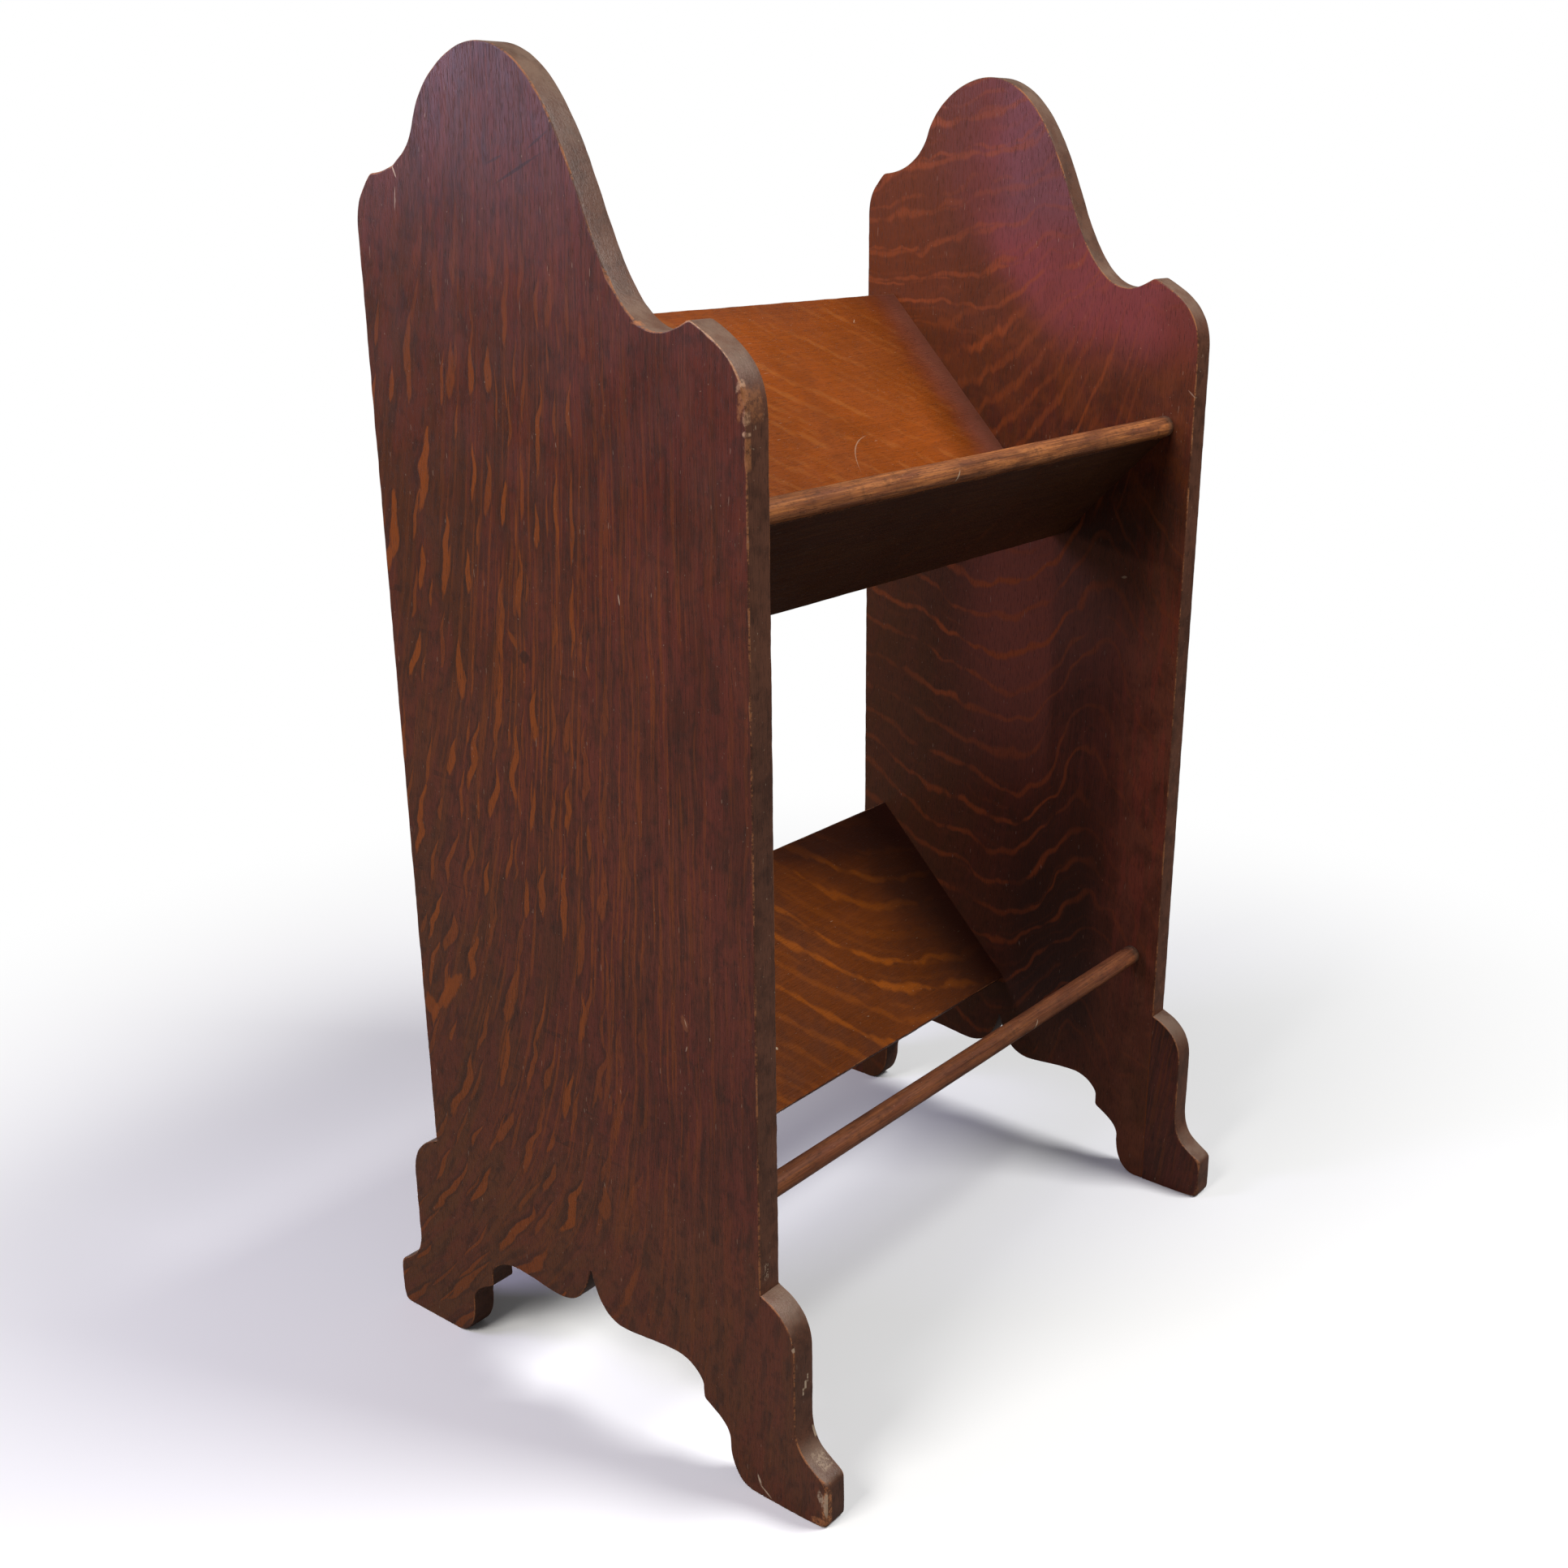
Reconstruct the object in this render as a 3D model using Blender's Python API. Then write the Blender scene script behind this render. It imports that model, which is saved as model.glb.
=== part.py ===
"""Book trough: two shaped oak end panels that carry a V-shaped trough above and a slanted shelf below.

Metres, +Z up. X runs along the trough, Y from the front to the back, and the origin lies on the floor
under the middle. Each piece is its own object, named for what it is.
"""

import math

import bmesh
import bpy
from mathutils import Vector

# Overall sizes
HEIGHT = 0.914
LENGTH = 0.530
PANEL_THICKNESS = 0.019

# End panel: the wide body board, its crest, and the arch cut between its feet
BODY_WIDTH = 0.318
CREST_HEIGHT = 0.192
ARCH_HEIGHT = 0.115
HEEL_FLAT = 0.0075

# Foot ears, glued to the long edges of the body board
EAR_WIDTH = 0.0555
EAR_HEIGHT = 0.1615

# Boards of the trough and of the shelf
TROUGH_TILT = math.radians(45)
BOARD_THICKNESS = 0.012
FRONT_BOARD_WIDTH = 0.1215
UPPER_BOARD_SETBACK = 0.0185
LOWER_BOARD_WIDTH = 0.195
LOWER_BOARD_SETBACK = 0.015
LOWER_BOARD_RISE = 0.038

# Round rails along the front
RAIL_DIAMETER = 0.016
RAIL_SETBACK = 0.025
UPPER_RAIL_DROP = 0.2505
LOWER_RAIL_RISE = 0.0985

# Joints: how deep ends sit in the panels, and the gap left between faces that touch
HOUSING_DEPTH = 0.006
SOCKET_DEPTH = 0.009
CLEARANCE = 0.0003

# Fineness of the curves, and the distance below which points of a cap and its wall are one
STEPS_PER_CURVE = 10
RAIL_SIDES = 32
WELD_DISTANCE = 0.0001
SHARP_ANGLE = math.radians(35)

# Sizes that follow
HALF_BODY = BODY_WIDTH / 2
INNER_LENGTH = LENGTH - 2 * PANEL_THICKNESS
BOARD_LENGTH = INNER_LENGTH + 2 * HOUSING_DEPTH
RAIL_LENGTH = INNER_LENGTH + 2 * SOCKET_DEPTH
RAIL_RADIUS = RAIL_DIAMETER / 2
SLOPE = Vector((0, math.cos(TROUGH_TILT), math.sin(TROUGH_TILT)))
NORMAL = Vector((0, -math.sin(TROUGH_TILT), math.cos(TROUGH_TILT)))

# An outline is a row of knots: the point, the handle before it and the handle after it. None is a
# straight side. Each pair is (across, up).

# Crest, from the front edge over the front shoulder, the hollow, the crown and the back shoulder.
# Across in shares of half the body width, up in shares of the crest height.
CREST_SHARES = (
    ((-1.0, 0.0), None, (-1.0, 0.152)),
    ((-0.742, 0.266), (-0.884, 0.212), (-0.690, 0.244)),
    ((-0.589, 0.221), (-0.658, 0.221), (-0.437, 0.221)),
    ((-0.277, 0.495), (-0.332, 0.390), (-0.176, 0.688)),
    ((0.253, 1.0), (-0.043, 1.0), (0.420, 1.0)),
    ((0.626, 0.778), (0.582, 0.889), (0.663, 0.684)),
    ((0.900, 0.614), (0.763, 0.620), (0.960, 0.557)),
    ((1.0, 0.433), (1.0, 0.531), None),
)

# Front half of the arch, from the heel over the cove and the cusp to the peak in the middle.
# Across in shares of half the arch's span, up in shares of its height.
ARCH_SHARES = (
    ((-1.0, 0.0), None, (-0.914, 0.0)),
    ((-0.857, 0.284), (-0.857, 0.113), (-0.857, 0.396)),
    ((-0.701, 0.497), (-0.765, 0.445), None),
    ((-0.701, 0.575), None, (-0.701, 0.646)),
    ((-0.531, 0.726), (-0.619, 0.726), (-0.411, 0.726)),
    ((-0.216, 0.693), (-0.299, 0.693), (-0.067, 0.693)),
    ((0.0, 1.0), (-0.024, 0.883), (0.024, 0.883)),
)

# Foot ear, from the seam down its S-shaped edge to the toe and back along the floor.
# Across in shares of the ear's width outward from the seam, up in shares of its height.
EAR_SHARES = (
    ((0.0, 0.0), None, None),
    ((0.0, 1.0), None, (0.335, 0.960)),
    ((0.514, 0.765), (0.514, 0.887), None),
    ((0.514, 0.472), None, (0.514, 0.349)),
    ((0.924, 0.241), (0.600, 0.301), (0.973, 0.232)),
    ((1.0, 0.204), (1.0, 0.222), None),
    ((1.0, 0.022), None, (1.0, 0.008)),
    ((0.946, 0.0), (0.976, 0.0), None),
)

# Colour, roughness and metallic value of each wood
PANEL_OAK = ((0.094, 0.040, 0.025), 0.42, 0.0)
EAR_OAK = ((0.105, 0.045, 0.027), 0.45, 0.0)
BACK_BOARD_OAK = ((0.235, 0.098, 0.046), 0.45, 0.0)
FRONT_BOARD_OAK = ((0.085, 0.038, 0.025), 0.45, 0.0)
SHELF_OAK = ((0.270, 0.110, 0.048), 0.45, 0.0)
RAIL_OAK = ((0.215, 0.110, 0.070), 0.40, 0.0)


def clear_scene():
    """Remove every object, so that the model starts from nothing."""
    for obj in list(bpy.data.objects):
        bpy.data.objects.remove(obj, do_unlink=True)


def new_collection(name):
    """A collection under the scene's own."""
    collection = bpy.data.collections.new(name)
    bpy.context.scene.collection.children.link(collection)
    return collection


def wood(name, finish):
    """A Principled material of one colour, roughness and metallic value."""
    colour, roughness, metallic = finish
    material = bpy.data.materials.new(name)
    material.use_nodes = True
    shader = material.node_tree.nodes["Principled BSDF"]
    shader.inputs["Base Color"].default_value = (*colour, 1)
    shader.inputs["Roughness"].default_value = roughness
    shader.inputs["Metallic"].default_value = metallic
    material.diffuse_color = (*colour, 1)
    return material


def move_to(obj, collection):
    """Link an object to one collection and to no other."""
    for old in list(obj.users_collection):
        old.objects.unlink(obj)
    collection.objects.link(obj)


def placed_knots(shares, across, up, origin_across=0.0, origin_up=0.0):
    """Knots of an outline in metres, from its shares and the two sizes that they are shares of."""
    def place(pair):
        if pair is None:
            return None
        return Vector((origin_across + pair[0] * across, origin_up + pair[1] * up, 0))

    return [tuple(place(pair) for pair in knot) for knot in shares]


def mirrored_knots(knots):
    """The same outline, front to back."""
    def flip(point):
        return None if point is None else Vector((-point.x, point.y, 0))

    return [tuple(flip(point) for point in knot) for knot in knots]


def reversed_knots(knots):
    """The same outline, run the other way."""
    return [(point, after, before) for point, before, after in reversed(knots)]


def straight_knots(points):
    """Knots of an outline with straight sides, from (across, up) pairs."""
    return [(Vector((across, up, 0)), None, None) for across, up in points]


def weld(mesh):
    """Join the caps of a curve's mesh to its walls."""
    shape = bmesh.new()
    shape.from_mesh(mesh)
    bmesh.ops.remove_doubles(shape, verts=shape.verts, dist=WELD_DISTANCE)
    shape.to_mesh(mesh)
    shape.free()
    mesh.shade_smooth()
    mesh.set_sharp_from_angle(angle=SHARP_ANGLE)


def extruded_outline(name, knots, thickness, collection):
    """A solid from a flat outline of knots in the YZ plane, as thick along X as thickness."""
    curve = bpy.data.curves.new(name, "CURVE")
    curve.dimensions = "2D"
    curve.fill_mode = "BOTH"
    curve.extrude = thickness / 2
    spline = curve.splines.new("BEZIER")
    spline.resolution_u = STEPS_PER_CURVE
    spline.use_cyclic_u = True
    spline.bezier_points.add(len(knots) - 1)
    for bezier, (point, before, after) in zip(spline.bezier_points, knots):
        bezier.co = point
        bezier.handle_left_type = "VECTOR" if before is None else "FREE"
        bezier.handle_right_type = "VECTOR" if after is None else "FREE"
        bezier.handle_left = point if before is None else before
        bezier.handle_right = point if after is None else after
    outline = bpy.data.objects.new(name + "_outline", curve)
    outline.rotation_euler = (math.pi / 2, 0, math.pi / 2)
    collection.objects.link(outline)
    bpy.context.view_layer.update()
    evaluated = outline.evaluated_get(bpy.context.evaluated_depsgraph_get())
    mesh = bpy.data.meshes.new_from_object(evaluated)
    weld(mesh)
    solid = bpy.data.objects.new(name, mesh)
    solid.matrix_world = outline.matrix_world
    collection.objects.link(solid)
    bpy.data.objects.remove(outline, do_unlink=True)
    return solid


def box(name, size, centre, tilt, collection):
    """A box of the given size with its middle at centre, turned about X by tilt."""
    bpy.ops.mesh.primitive_cube_add(size=1, location=centre, rotation=(tilt, 0, 0))
    obj = bpy.context.object
    obj.name = name
    obj.scale = size
    bpy.ops.object.transform_apply(location=False, rotation=False, scale=True)
    move_to(obj, collection)
    return obj


def upper_rail_centre():
    """Where the upper rail's axis crosses the YZ plane."""
    return Vector((0, RAIL_SETBACK - HALF_BODY, HEIGHT - UPPER_RAIL_DROP))


def lower_rail_centre():
    """Where the lower rail's axis crosses the YZ plane."""
    return Vector((0, RAIL_SETBACK - HALF_BODY, ARCH_HEIGHT + LOWER_RAIL_RISE))


def trough_corner():
    """Outer corner of the V, where the front board's outer face meets the back board's face."""
    front_side = RAIL_RADIUS + CLEARANCE + FRONT_BOARD_WIDTH + CLEARANCE
    return upper_rail_centre() - NORMAL * front_side - SLOPE * BOARD_THICKNESS / 2


def upper_back_board_width():
    """Width of the back board's face, from the V's corner up to its setback from the back edge."""
    top_across = HALF_BODY - UPPER_BOARD_SETBACK - BOARD_THICKNESS * math.sin(TROUGH_TILT)
    return (top_across - trough_corner().y) / math.cos(TROUGH_TILT)


def upper_back_board_knots(growth):
    """Section of the upper back board, cut level at its foot, grown by growth on every side."""
    corner = trough_corner()
    face_foot = corner + NORMAL * growth - SLOPE * growth / math.tan(TROUGH_TILT / 2)
    face_top = corner + SLOPE * (upper_back_board_width() + growth) + NORMAL * growth
    under_top = face_top - NORMAL * (BOARD_THICKNESS + 2 * growth)
    under_foot = corner - NORMAL * (BOARD_THICKNESS + growth)
    under_foot += SLOPE * (BOARD_THICKNESS / math.tan(TROUGH_TILT) - growth * math.tan(TROUGH_TILT / 2))
    return straight_knots((point.y, point.z) for point in (face_foot, face_top, under_top, under_foot))


def upper_back_board(name, growth, collection):
    """The wide board behind the trough: books lean on its face."""
    length = BOARD_LENGTH + 2 * growth
    return extruded_outline(name, upper_back_board_knots(growth), length, collection)


def upper_front_board(name, growth, collection):
    """The narrow board in front of the trough, square to the back board, from its face to the rail."""
    size = (BOARD_LENGTH + 2 * growth, BOARD_THICKNESS + 2 * growth, FRONT_BOARD_WIDTH + 2 * growth)
    below_rail = RAIL_RADIUS + CLEARANCE + FRONT_BOARD_WIDTH / 2
    centre = upper_rail_centre() - NORMAL * below_rail
    return box(name, size, centre, TROUGH_TILT, collection)


def lower_back_board(name, growth, collection):
    """The slanted board of the lower shelf."""
    size = (BOARD_LENGTH + 2 * growth, LOWER_BOARD_WIDTH + 2 * growth, BOARD_THICKNESS + 2 * growth)
    top_across = HALF_BODY - LOWER_BOARD_SETBACK - BOARD_THICKNESS * math.sin(TROUGH_TILT)
    foot_across = top_across - LOWER_BOARD_WIDTH * math.cos(TROUGH_TILT)
    face_foot = Vector((0, foot_across, ARCH_HEIGHT + LOWER_BOARD_RISE))
    centre = face_foot + SLOPE * LOWER_BOARD_WIDTH / 2 - NORMAL * BOARD_THICKNESS / 2
    return box(name, size, centre, TROUGH_TILT, collection)


def rail(name, centre, collection):
    """A round rail along X, with filled ends that sit in the panels' sockets."""
    curve = bpy.data.curves.new(name, "CURVE")
    curve.dimensions = "3D"
    curve.fill_mode = "FULL"
    curve.bevel_depth = RAIL_RADIUS
    curve.bevel_resolution = RAIL_SIDES // 2 - 2
    curve.use_fill_caps = True
    spline = curve.splines.new("POLY")
    spline.points.add(1)
    spline.points[0].co = (-RAIL_LENGTH / 2, 0, 0, 1)
    spline.points[1].co = (RAIL_LENGTH / 2, 0, 0, 1)
    obj = bpy.data.objects.new(name, curve)
    obj.location = centre
    collection.objects.link(obj)
    return obj


def rail_socket(name, centre, collection):
    """Cutter for the blind holes that both panels hold a rail's ends in."""
    bpy.ops.mesh.primitive_cylinder_add(
        vertices=RAIL_SIDES,
        radius=RAIL_RADIUS + CLEARANCE,
        depth=RAIL_LENGTH + 2 * CLEARANCE,
        location=centre,
        rotation=(0, math.pi / 2, 0),
    )
    obj = bpy.context.object
    obj.name = name
    move_to(obj, collection)
    return obj


def end_panel_knots():
    """Outline of the body board: front edge, crest, back edge, and the arch between the feet."""
    crest = placed_knots(CREST_SHARES, HALF_BODY, CREST_HEIGHT, origin_up=HEIGHT - CREST_HEIGHT)
    front_arch = placed_knots(ARCH_SHARES, HALF_BODY - HEEL_FLAT, ARCH_HEIGHT)
    back_arch = mirrored_knots(front_arch)
    front_foot = straight_knots([(-HALF_BODY, 0)])
    back_foot = straight_knots([(HALF_BODY, 0)])
    return front_foot + crest + back_foot + back_arch[:-1] + reversed_knots(front_arch)


def end_panel(name, side, cutters, collection):
    """One body board, with blind housings for the boards and blind sockets for the rails."""
    panel = extruded_outline(name, end_panel_knots(), PANEL_THICKNESS, collection)
    panel.location.x = side * (LENGTH - PANEL_THICKNESS) / 2
    for cutter in cutters:
        cut = panel.modifiers.new("cut_" + cutter.name, "BOOLEAN")
        cut.operation = "DIFFERENCE"
        cut.solver = "EXACT"
        cut.object = cutter
    return panel


def foot_ear(name, side, facing, collection):
    """One foot ear beside the body board's edge; facing is -1 at the front and 1 at the back."""
    knots = placed_knots(EAR_SHARES, EAR_WIDTH - CLEARANCE, EAR_HEIGHT)
    if facing < 0:
        knots = mirrored_knots(knots)
    ear = extruded_outline(name, knots, PANEL_THICKNESS, collection)
    ear.location.x = side * (LENGTH - PANEL_THICKNESS) / 2
    ear.location.y = facing * (HALF_BODY + CLEARANCE)
    return ear


def make_cutters(collection):
    """Grown copies of the boards and rails, which cut their housings and sockets into both panels."""
    cutters = [
        upper_back_board("upper_back_housing", CLEARANCE, collection),
        upper_front_board("upper_front_housing", CLEARANCE, collection),
        lower_back_board("lower_back_housing", CLEARANCE, collection),
        rail_socket("upper_rail_socket", upper_rail_centre(), collection),
        rail_socket("lower_rail_socket", lower_rail_centre(), collection),
    ]
    for cutter in cutters:
        cutter.hide_render = True
        cutter.display_type = "WIRE"
    return cutters


def make_pieces(cutters, collection):
    """Every piece of the trough with the wood that it is made of."""
    pieces = []
    for side_name, side in (("left", -1), ("right", 1)):
        panel = end_panel("end_panel_" + side_name, side, cutters, collection)
        pieces.append((panel, PANEL_OAK))
        for facing_name, facing in (("front", -1), ("back", 1)):
            ear_name = "foot_ear_" + side_name + "_" + facing_name
            pieces.append((foot_ear(ear_name, side, facing, collection), EAR_OAK))
    pieces.append((upper_back_board("upper_back_board", 0, collection), BACK_BOARD_OAK))
    pieces.append((upper_front_board("upper_front_board", 0, collection), FRONT_BOARD_OAK))
    pieces.append((lower_back_board("lower_back_board", 0, collection), SHELF_OAK))
    pieces.append((rail("upper_rail", upper_rail_centre(), collection), RAIL_OAK))
    pieces.append((rail("lower_rail", lower_rail_centre(), collection), RAIL_OAK))
    return pieces


def main():
    """Build the book trough in its own collection, its pieces parented to an empty on the floor."""
    clear_scene()
    trough = new_collection("book_trough")
    cutting = new_collection("book_trough_cutters")
    origin = bpy.data.objects.new("book_trough_origin", None)
    trough.objects.link(origin)
    for piece, finish in make_pieces(make_cutters(cutting), trough):
        piece.data.materials.append(wood(piece.name + "_oak", finish))
        piece.parent = origin


main()
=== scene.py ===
"""Looks of an oak book trough: quarter-sawn panels and boards, worn arrises, turned rails and a plain studio."""

import math
from functools import partial

import bmesh
import bpy
import numpy as np
from bpy.props import FloatProperty, FloatVectorProperty, IntProperty, PointerProperty
from bpy.types import Operator, Panel, PropertyGroup
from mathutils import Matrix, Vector


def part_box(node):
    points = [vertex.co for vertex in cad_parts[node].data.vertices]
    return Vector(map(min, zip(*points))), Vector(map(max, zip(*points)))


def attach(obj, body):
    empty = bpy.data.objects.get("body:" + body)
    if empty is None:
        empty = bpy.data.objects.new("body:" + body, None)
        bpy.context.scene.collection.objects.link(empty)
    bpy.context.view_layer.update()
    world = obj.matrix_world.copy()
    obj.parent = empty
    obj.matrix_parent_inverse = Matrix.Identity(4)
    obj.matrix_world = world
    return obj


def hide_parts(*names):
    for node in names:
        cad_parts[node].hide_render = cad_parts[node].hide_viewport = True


bl_info = {
    "name": "Oak Book Trough",
    "version": (1, 0, 0),
    "blender": (4, 5, 0),
    "location": "3D View > Sidebar > Book Trough",
    "description": "Makes the panels, boards and rails of a book trough in dark quarter-sawn oak",
    "category": "Add Mesh",
}

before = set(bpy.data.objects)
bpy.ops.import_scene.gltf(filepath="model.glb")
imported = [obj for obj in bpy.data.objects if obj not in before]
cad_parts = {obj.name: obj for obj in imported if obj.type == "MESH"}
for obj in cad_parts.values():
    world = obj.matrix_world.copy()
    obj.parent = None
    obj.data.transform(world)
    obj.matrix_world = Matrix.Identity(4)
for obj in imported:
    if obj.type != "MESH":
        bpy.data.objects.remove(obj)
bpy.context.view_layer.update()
PANEL_LOW, PANEL_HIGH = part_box("end_panel_left")
EAR_LOW, EAR_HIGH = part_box("foot_ear_left_front")

# Sizes of an end panel, read from the frame
HEIGHT = PANEL_HIGH.z
HALF_BODY = PANEL_HIGH.y
PANEL_THICKNESS = PANEL_HIGH.x - PANEL_LOW.x
EAR_HEIGHT = EAR_HIGH.z
EAR_WIDTH = PANEL_LOW.y - EAR_LOW.y

# Two sides of an outline meet without a corner where their directions' cosine is above this
SMOOTH_TURN = 0.97

# How near to the seam a point of an outline counts as on it, in metres
ON_SEAM = 1e-4

# How far behind its arris the flat of a face begins, on panels and on boards, in metres
PANEL_RIM, BOARD_RIM = 0.0004, 0.0006

# Space between the sections of a board, in metres, and the count of a rail's sections and of its sides
BOARD_STEP = 0.004
RAIL_STATIONS, RAIL_SIDES = 220, 48

# How far the upper front board reaches on under the rail that hides its edge, in metres
RAIL_TUCK = 0.002

# Depths from a board's middle: a panel's face towards -X with a mark's reach there, and an underside's start
SEEN_FACE = (-0.0095, 0.004)
UNDERSIDE = (-0.005, -0.007)

# What tells one of two alike pieces from the other: moves of the grain in metres and its lean in radians
STILL, MOVED = (0.0, 0.0, 0.0), (0.53, 0.117, 0.31)
FAR_EAR_MOVE, FAR_EAR_LEAN = (0.31, 0.05), 0.12

# Soft lamps: name, place, aim, width and height, power, colour
LAMPS = (
    ("front_lamp", (0.75, -1.65, 2.8), (0.0, 0.0, 0.5), (1.0, 1.0), 80, (1.0, 1.0, 1.0)),
    ("left_lamp", (-2.35, 0.15, 2.25), (0.0, 0.0, 0.5), (1.2, 1.2), 50, (1.0, 0.97, 0.93)),
    ("window_lamp", (-0.92, 0.70, 1.20), (-0.1, -0.1, 0.86), (0.42, 0.70), 7.5, (0.70, 0.64, 1.0)),
)

# An outline is a row of knots: the point, the handle before it and the handle after it, each (across, up).
# None is a straight side.

# Crest, from the front edge over the front shoulder, the hollow, the crown and the back shoulder.
# Across in shares of half the body width, up in shares of the crest height.
CREST_SHARES = (
    ((-1.0, 0.0), None, (-1.0, 0.152)),
    ((-0.742, 0.266), (-0.884, 0.212), (-0.690, 0.244)),
    ((-0.589, 0.221), (-0.658, 0.221), (-0.437, 0.221)),
    ((-0.277, 0.495), (-0.332, 0.390), (-0.176, 0.688)),
    ((0.253, 1.0), (-0.043, 1.0), (0.420, 1.0)),
    ((0.626, 0.778), (0.582, 0.889), (0.663, 0.684)),
    ((0.900, 0.614), (0.763, 0.620), (0.960, 0.557)),
    ((1.0, 0.433), (1.0, 0.531), None),
)

# Front half of the arch, from the heel over the cove and the cusp to the peak in the middle.
# Across in shares of half the arch's span, up in shares of its height.
ARCH_SHARES = (
    ((-1.0, 0.0), None, (-0.914, 0.0)),
    ((-0.857, 0.284), (-0.857, 0.113), (-0.857, 0.396)),
    ((-0.701, 0.497), (-0.765, 0.445), None),
    ((-0.701, 0.575), None, (-0.701, 0.646)),
    ((-0.531, 0.726), (-0.619, 0.726), (-0.411, 0.726)),
    ((-0.216, 0.693), (-0.299, 0.693), (-0.067, 0.693)),
    ((0.0, 1.0), (-0.024, 0.883), (0.024, 0.883)),
)

# Foot ear, from the seam down its S-shaped edge to the toe and back along the floor.
# Across in shares of the ear's width outward from the seam, up in shares of its height.
EAR_SHARES = (
    ((0.0, 0.0), None, None),
    ((0.0, 1.0), None, (0.335, 0.960)),
    ((0.514, 0.765), (0.514, 0.887), None),
    ((0.514, 0.472), None, (0.514, 0.349)),
    ((0.924, 0.241), (0.600, 0.301), (0.973, 0.232)),
    ((1.0, 0.204), (1.0, 0.222), None),
    ((1.0, 0.046), None, (1.0, 0.014)),
    ((0.895, 0.0), (0.965, 0.0), None),
)

# Places where an arris is chipped: across, up, reach of the chip and how far it cuts in, in metres
NEAR_CHIPS = (
    (-0.1575, 0.735, 0.0040, 0.0022),
    (-0.1590, 0.722, 0.0030, 0.0014),
    (-0.1590, 0.702, 0.0022, 0.0010),
    (-0.0800, 0.769, 0.0040, 0.0012),
    (-0.0560, 0.792, 0.0060, 0.0012),
    (-0.0330, 0.845, 0.0050, 0.0006),
    (0.1220, 0.846, 0.0030, 0.0009),
    (-0.1590, 0.560, 0.0060, 0.0005),
    (-0.1590, 0.330, 0.0080, 0.0005),
)
TOE_CHIPS = (
    (-0.2140, 0.036, 0.0050, 0.0016),
    (-0.2120, 0.004, 0.0090, 0.0022),
    (0.2140, 0.036, 0.0050, 0.0010),
    (0.2140, 0.004, 0.0050, 0.0012),
)


def length_setting(name, description, default):
    """A length in metres."""
    return FloatProperty(name=name, description=description, default=default, unit="LENGTH")


def colour_setting(name, description, *default):
    """A colour, from its red, green and blue."""
    return FloatVectorProperty(name=name, description=description, default=default, subtype="COLOR", size=3)


class TroughSizes(PropertyGroup):
    """Sizes that the frame doesn't hold."""

    crest_height: length_setting("Crest height", "Height of the shaped top above the straight edges", 0.192)
    arch_height: length_setting("Arch height", "Height of the peak between the feet", 0.115)
    heel_flat: length_setting("Heel flat", "Width of the body board that stands on the floor at each foot", 0.0075)
    board_thickness: length_setting("Board thickness", "Thickness of the trough and shelf boards", 0.012)
    board_tilt: FloatProperty(
        name="Board tilt", description="Slope of the back boards", default=math.radians(45), subtype="ANGLE",
    )
    arris_radius: length_setting("Arris radius", "Rounding of the edges of panels and boards", 0.0010)
    seam_radius: length_setting("Seam radius", "Rounding of the edges beside a glue seam", 0.00012)
    corner_ease: length_setting("Corner ease", "How far a corner of an outline is rounded back", 0.0026)
    outline_step: length_setting("Outline step", "Distance between the points of an outline", 0.0020)


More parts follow.
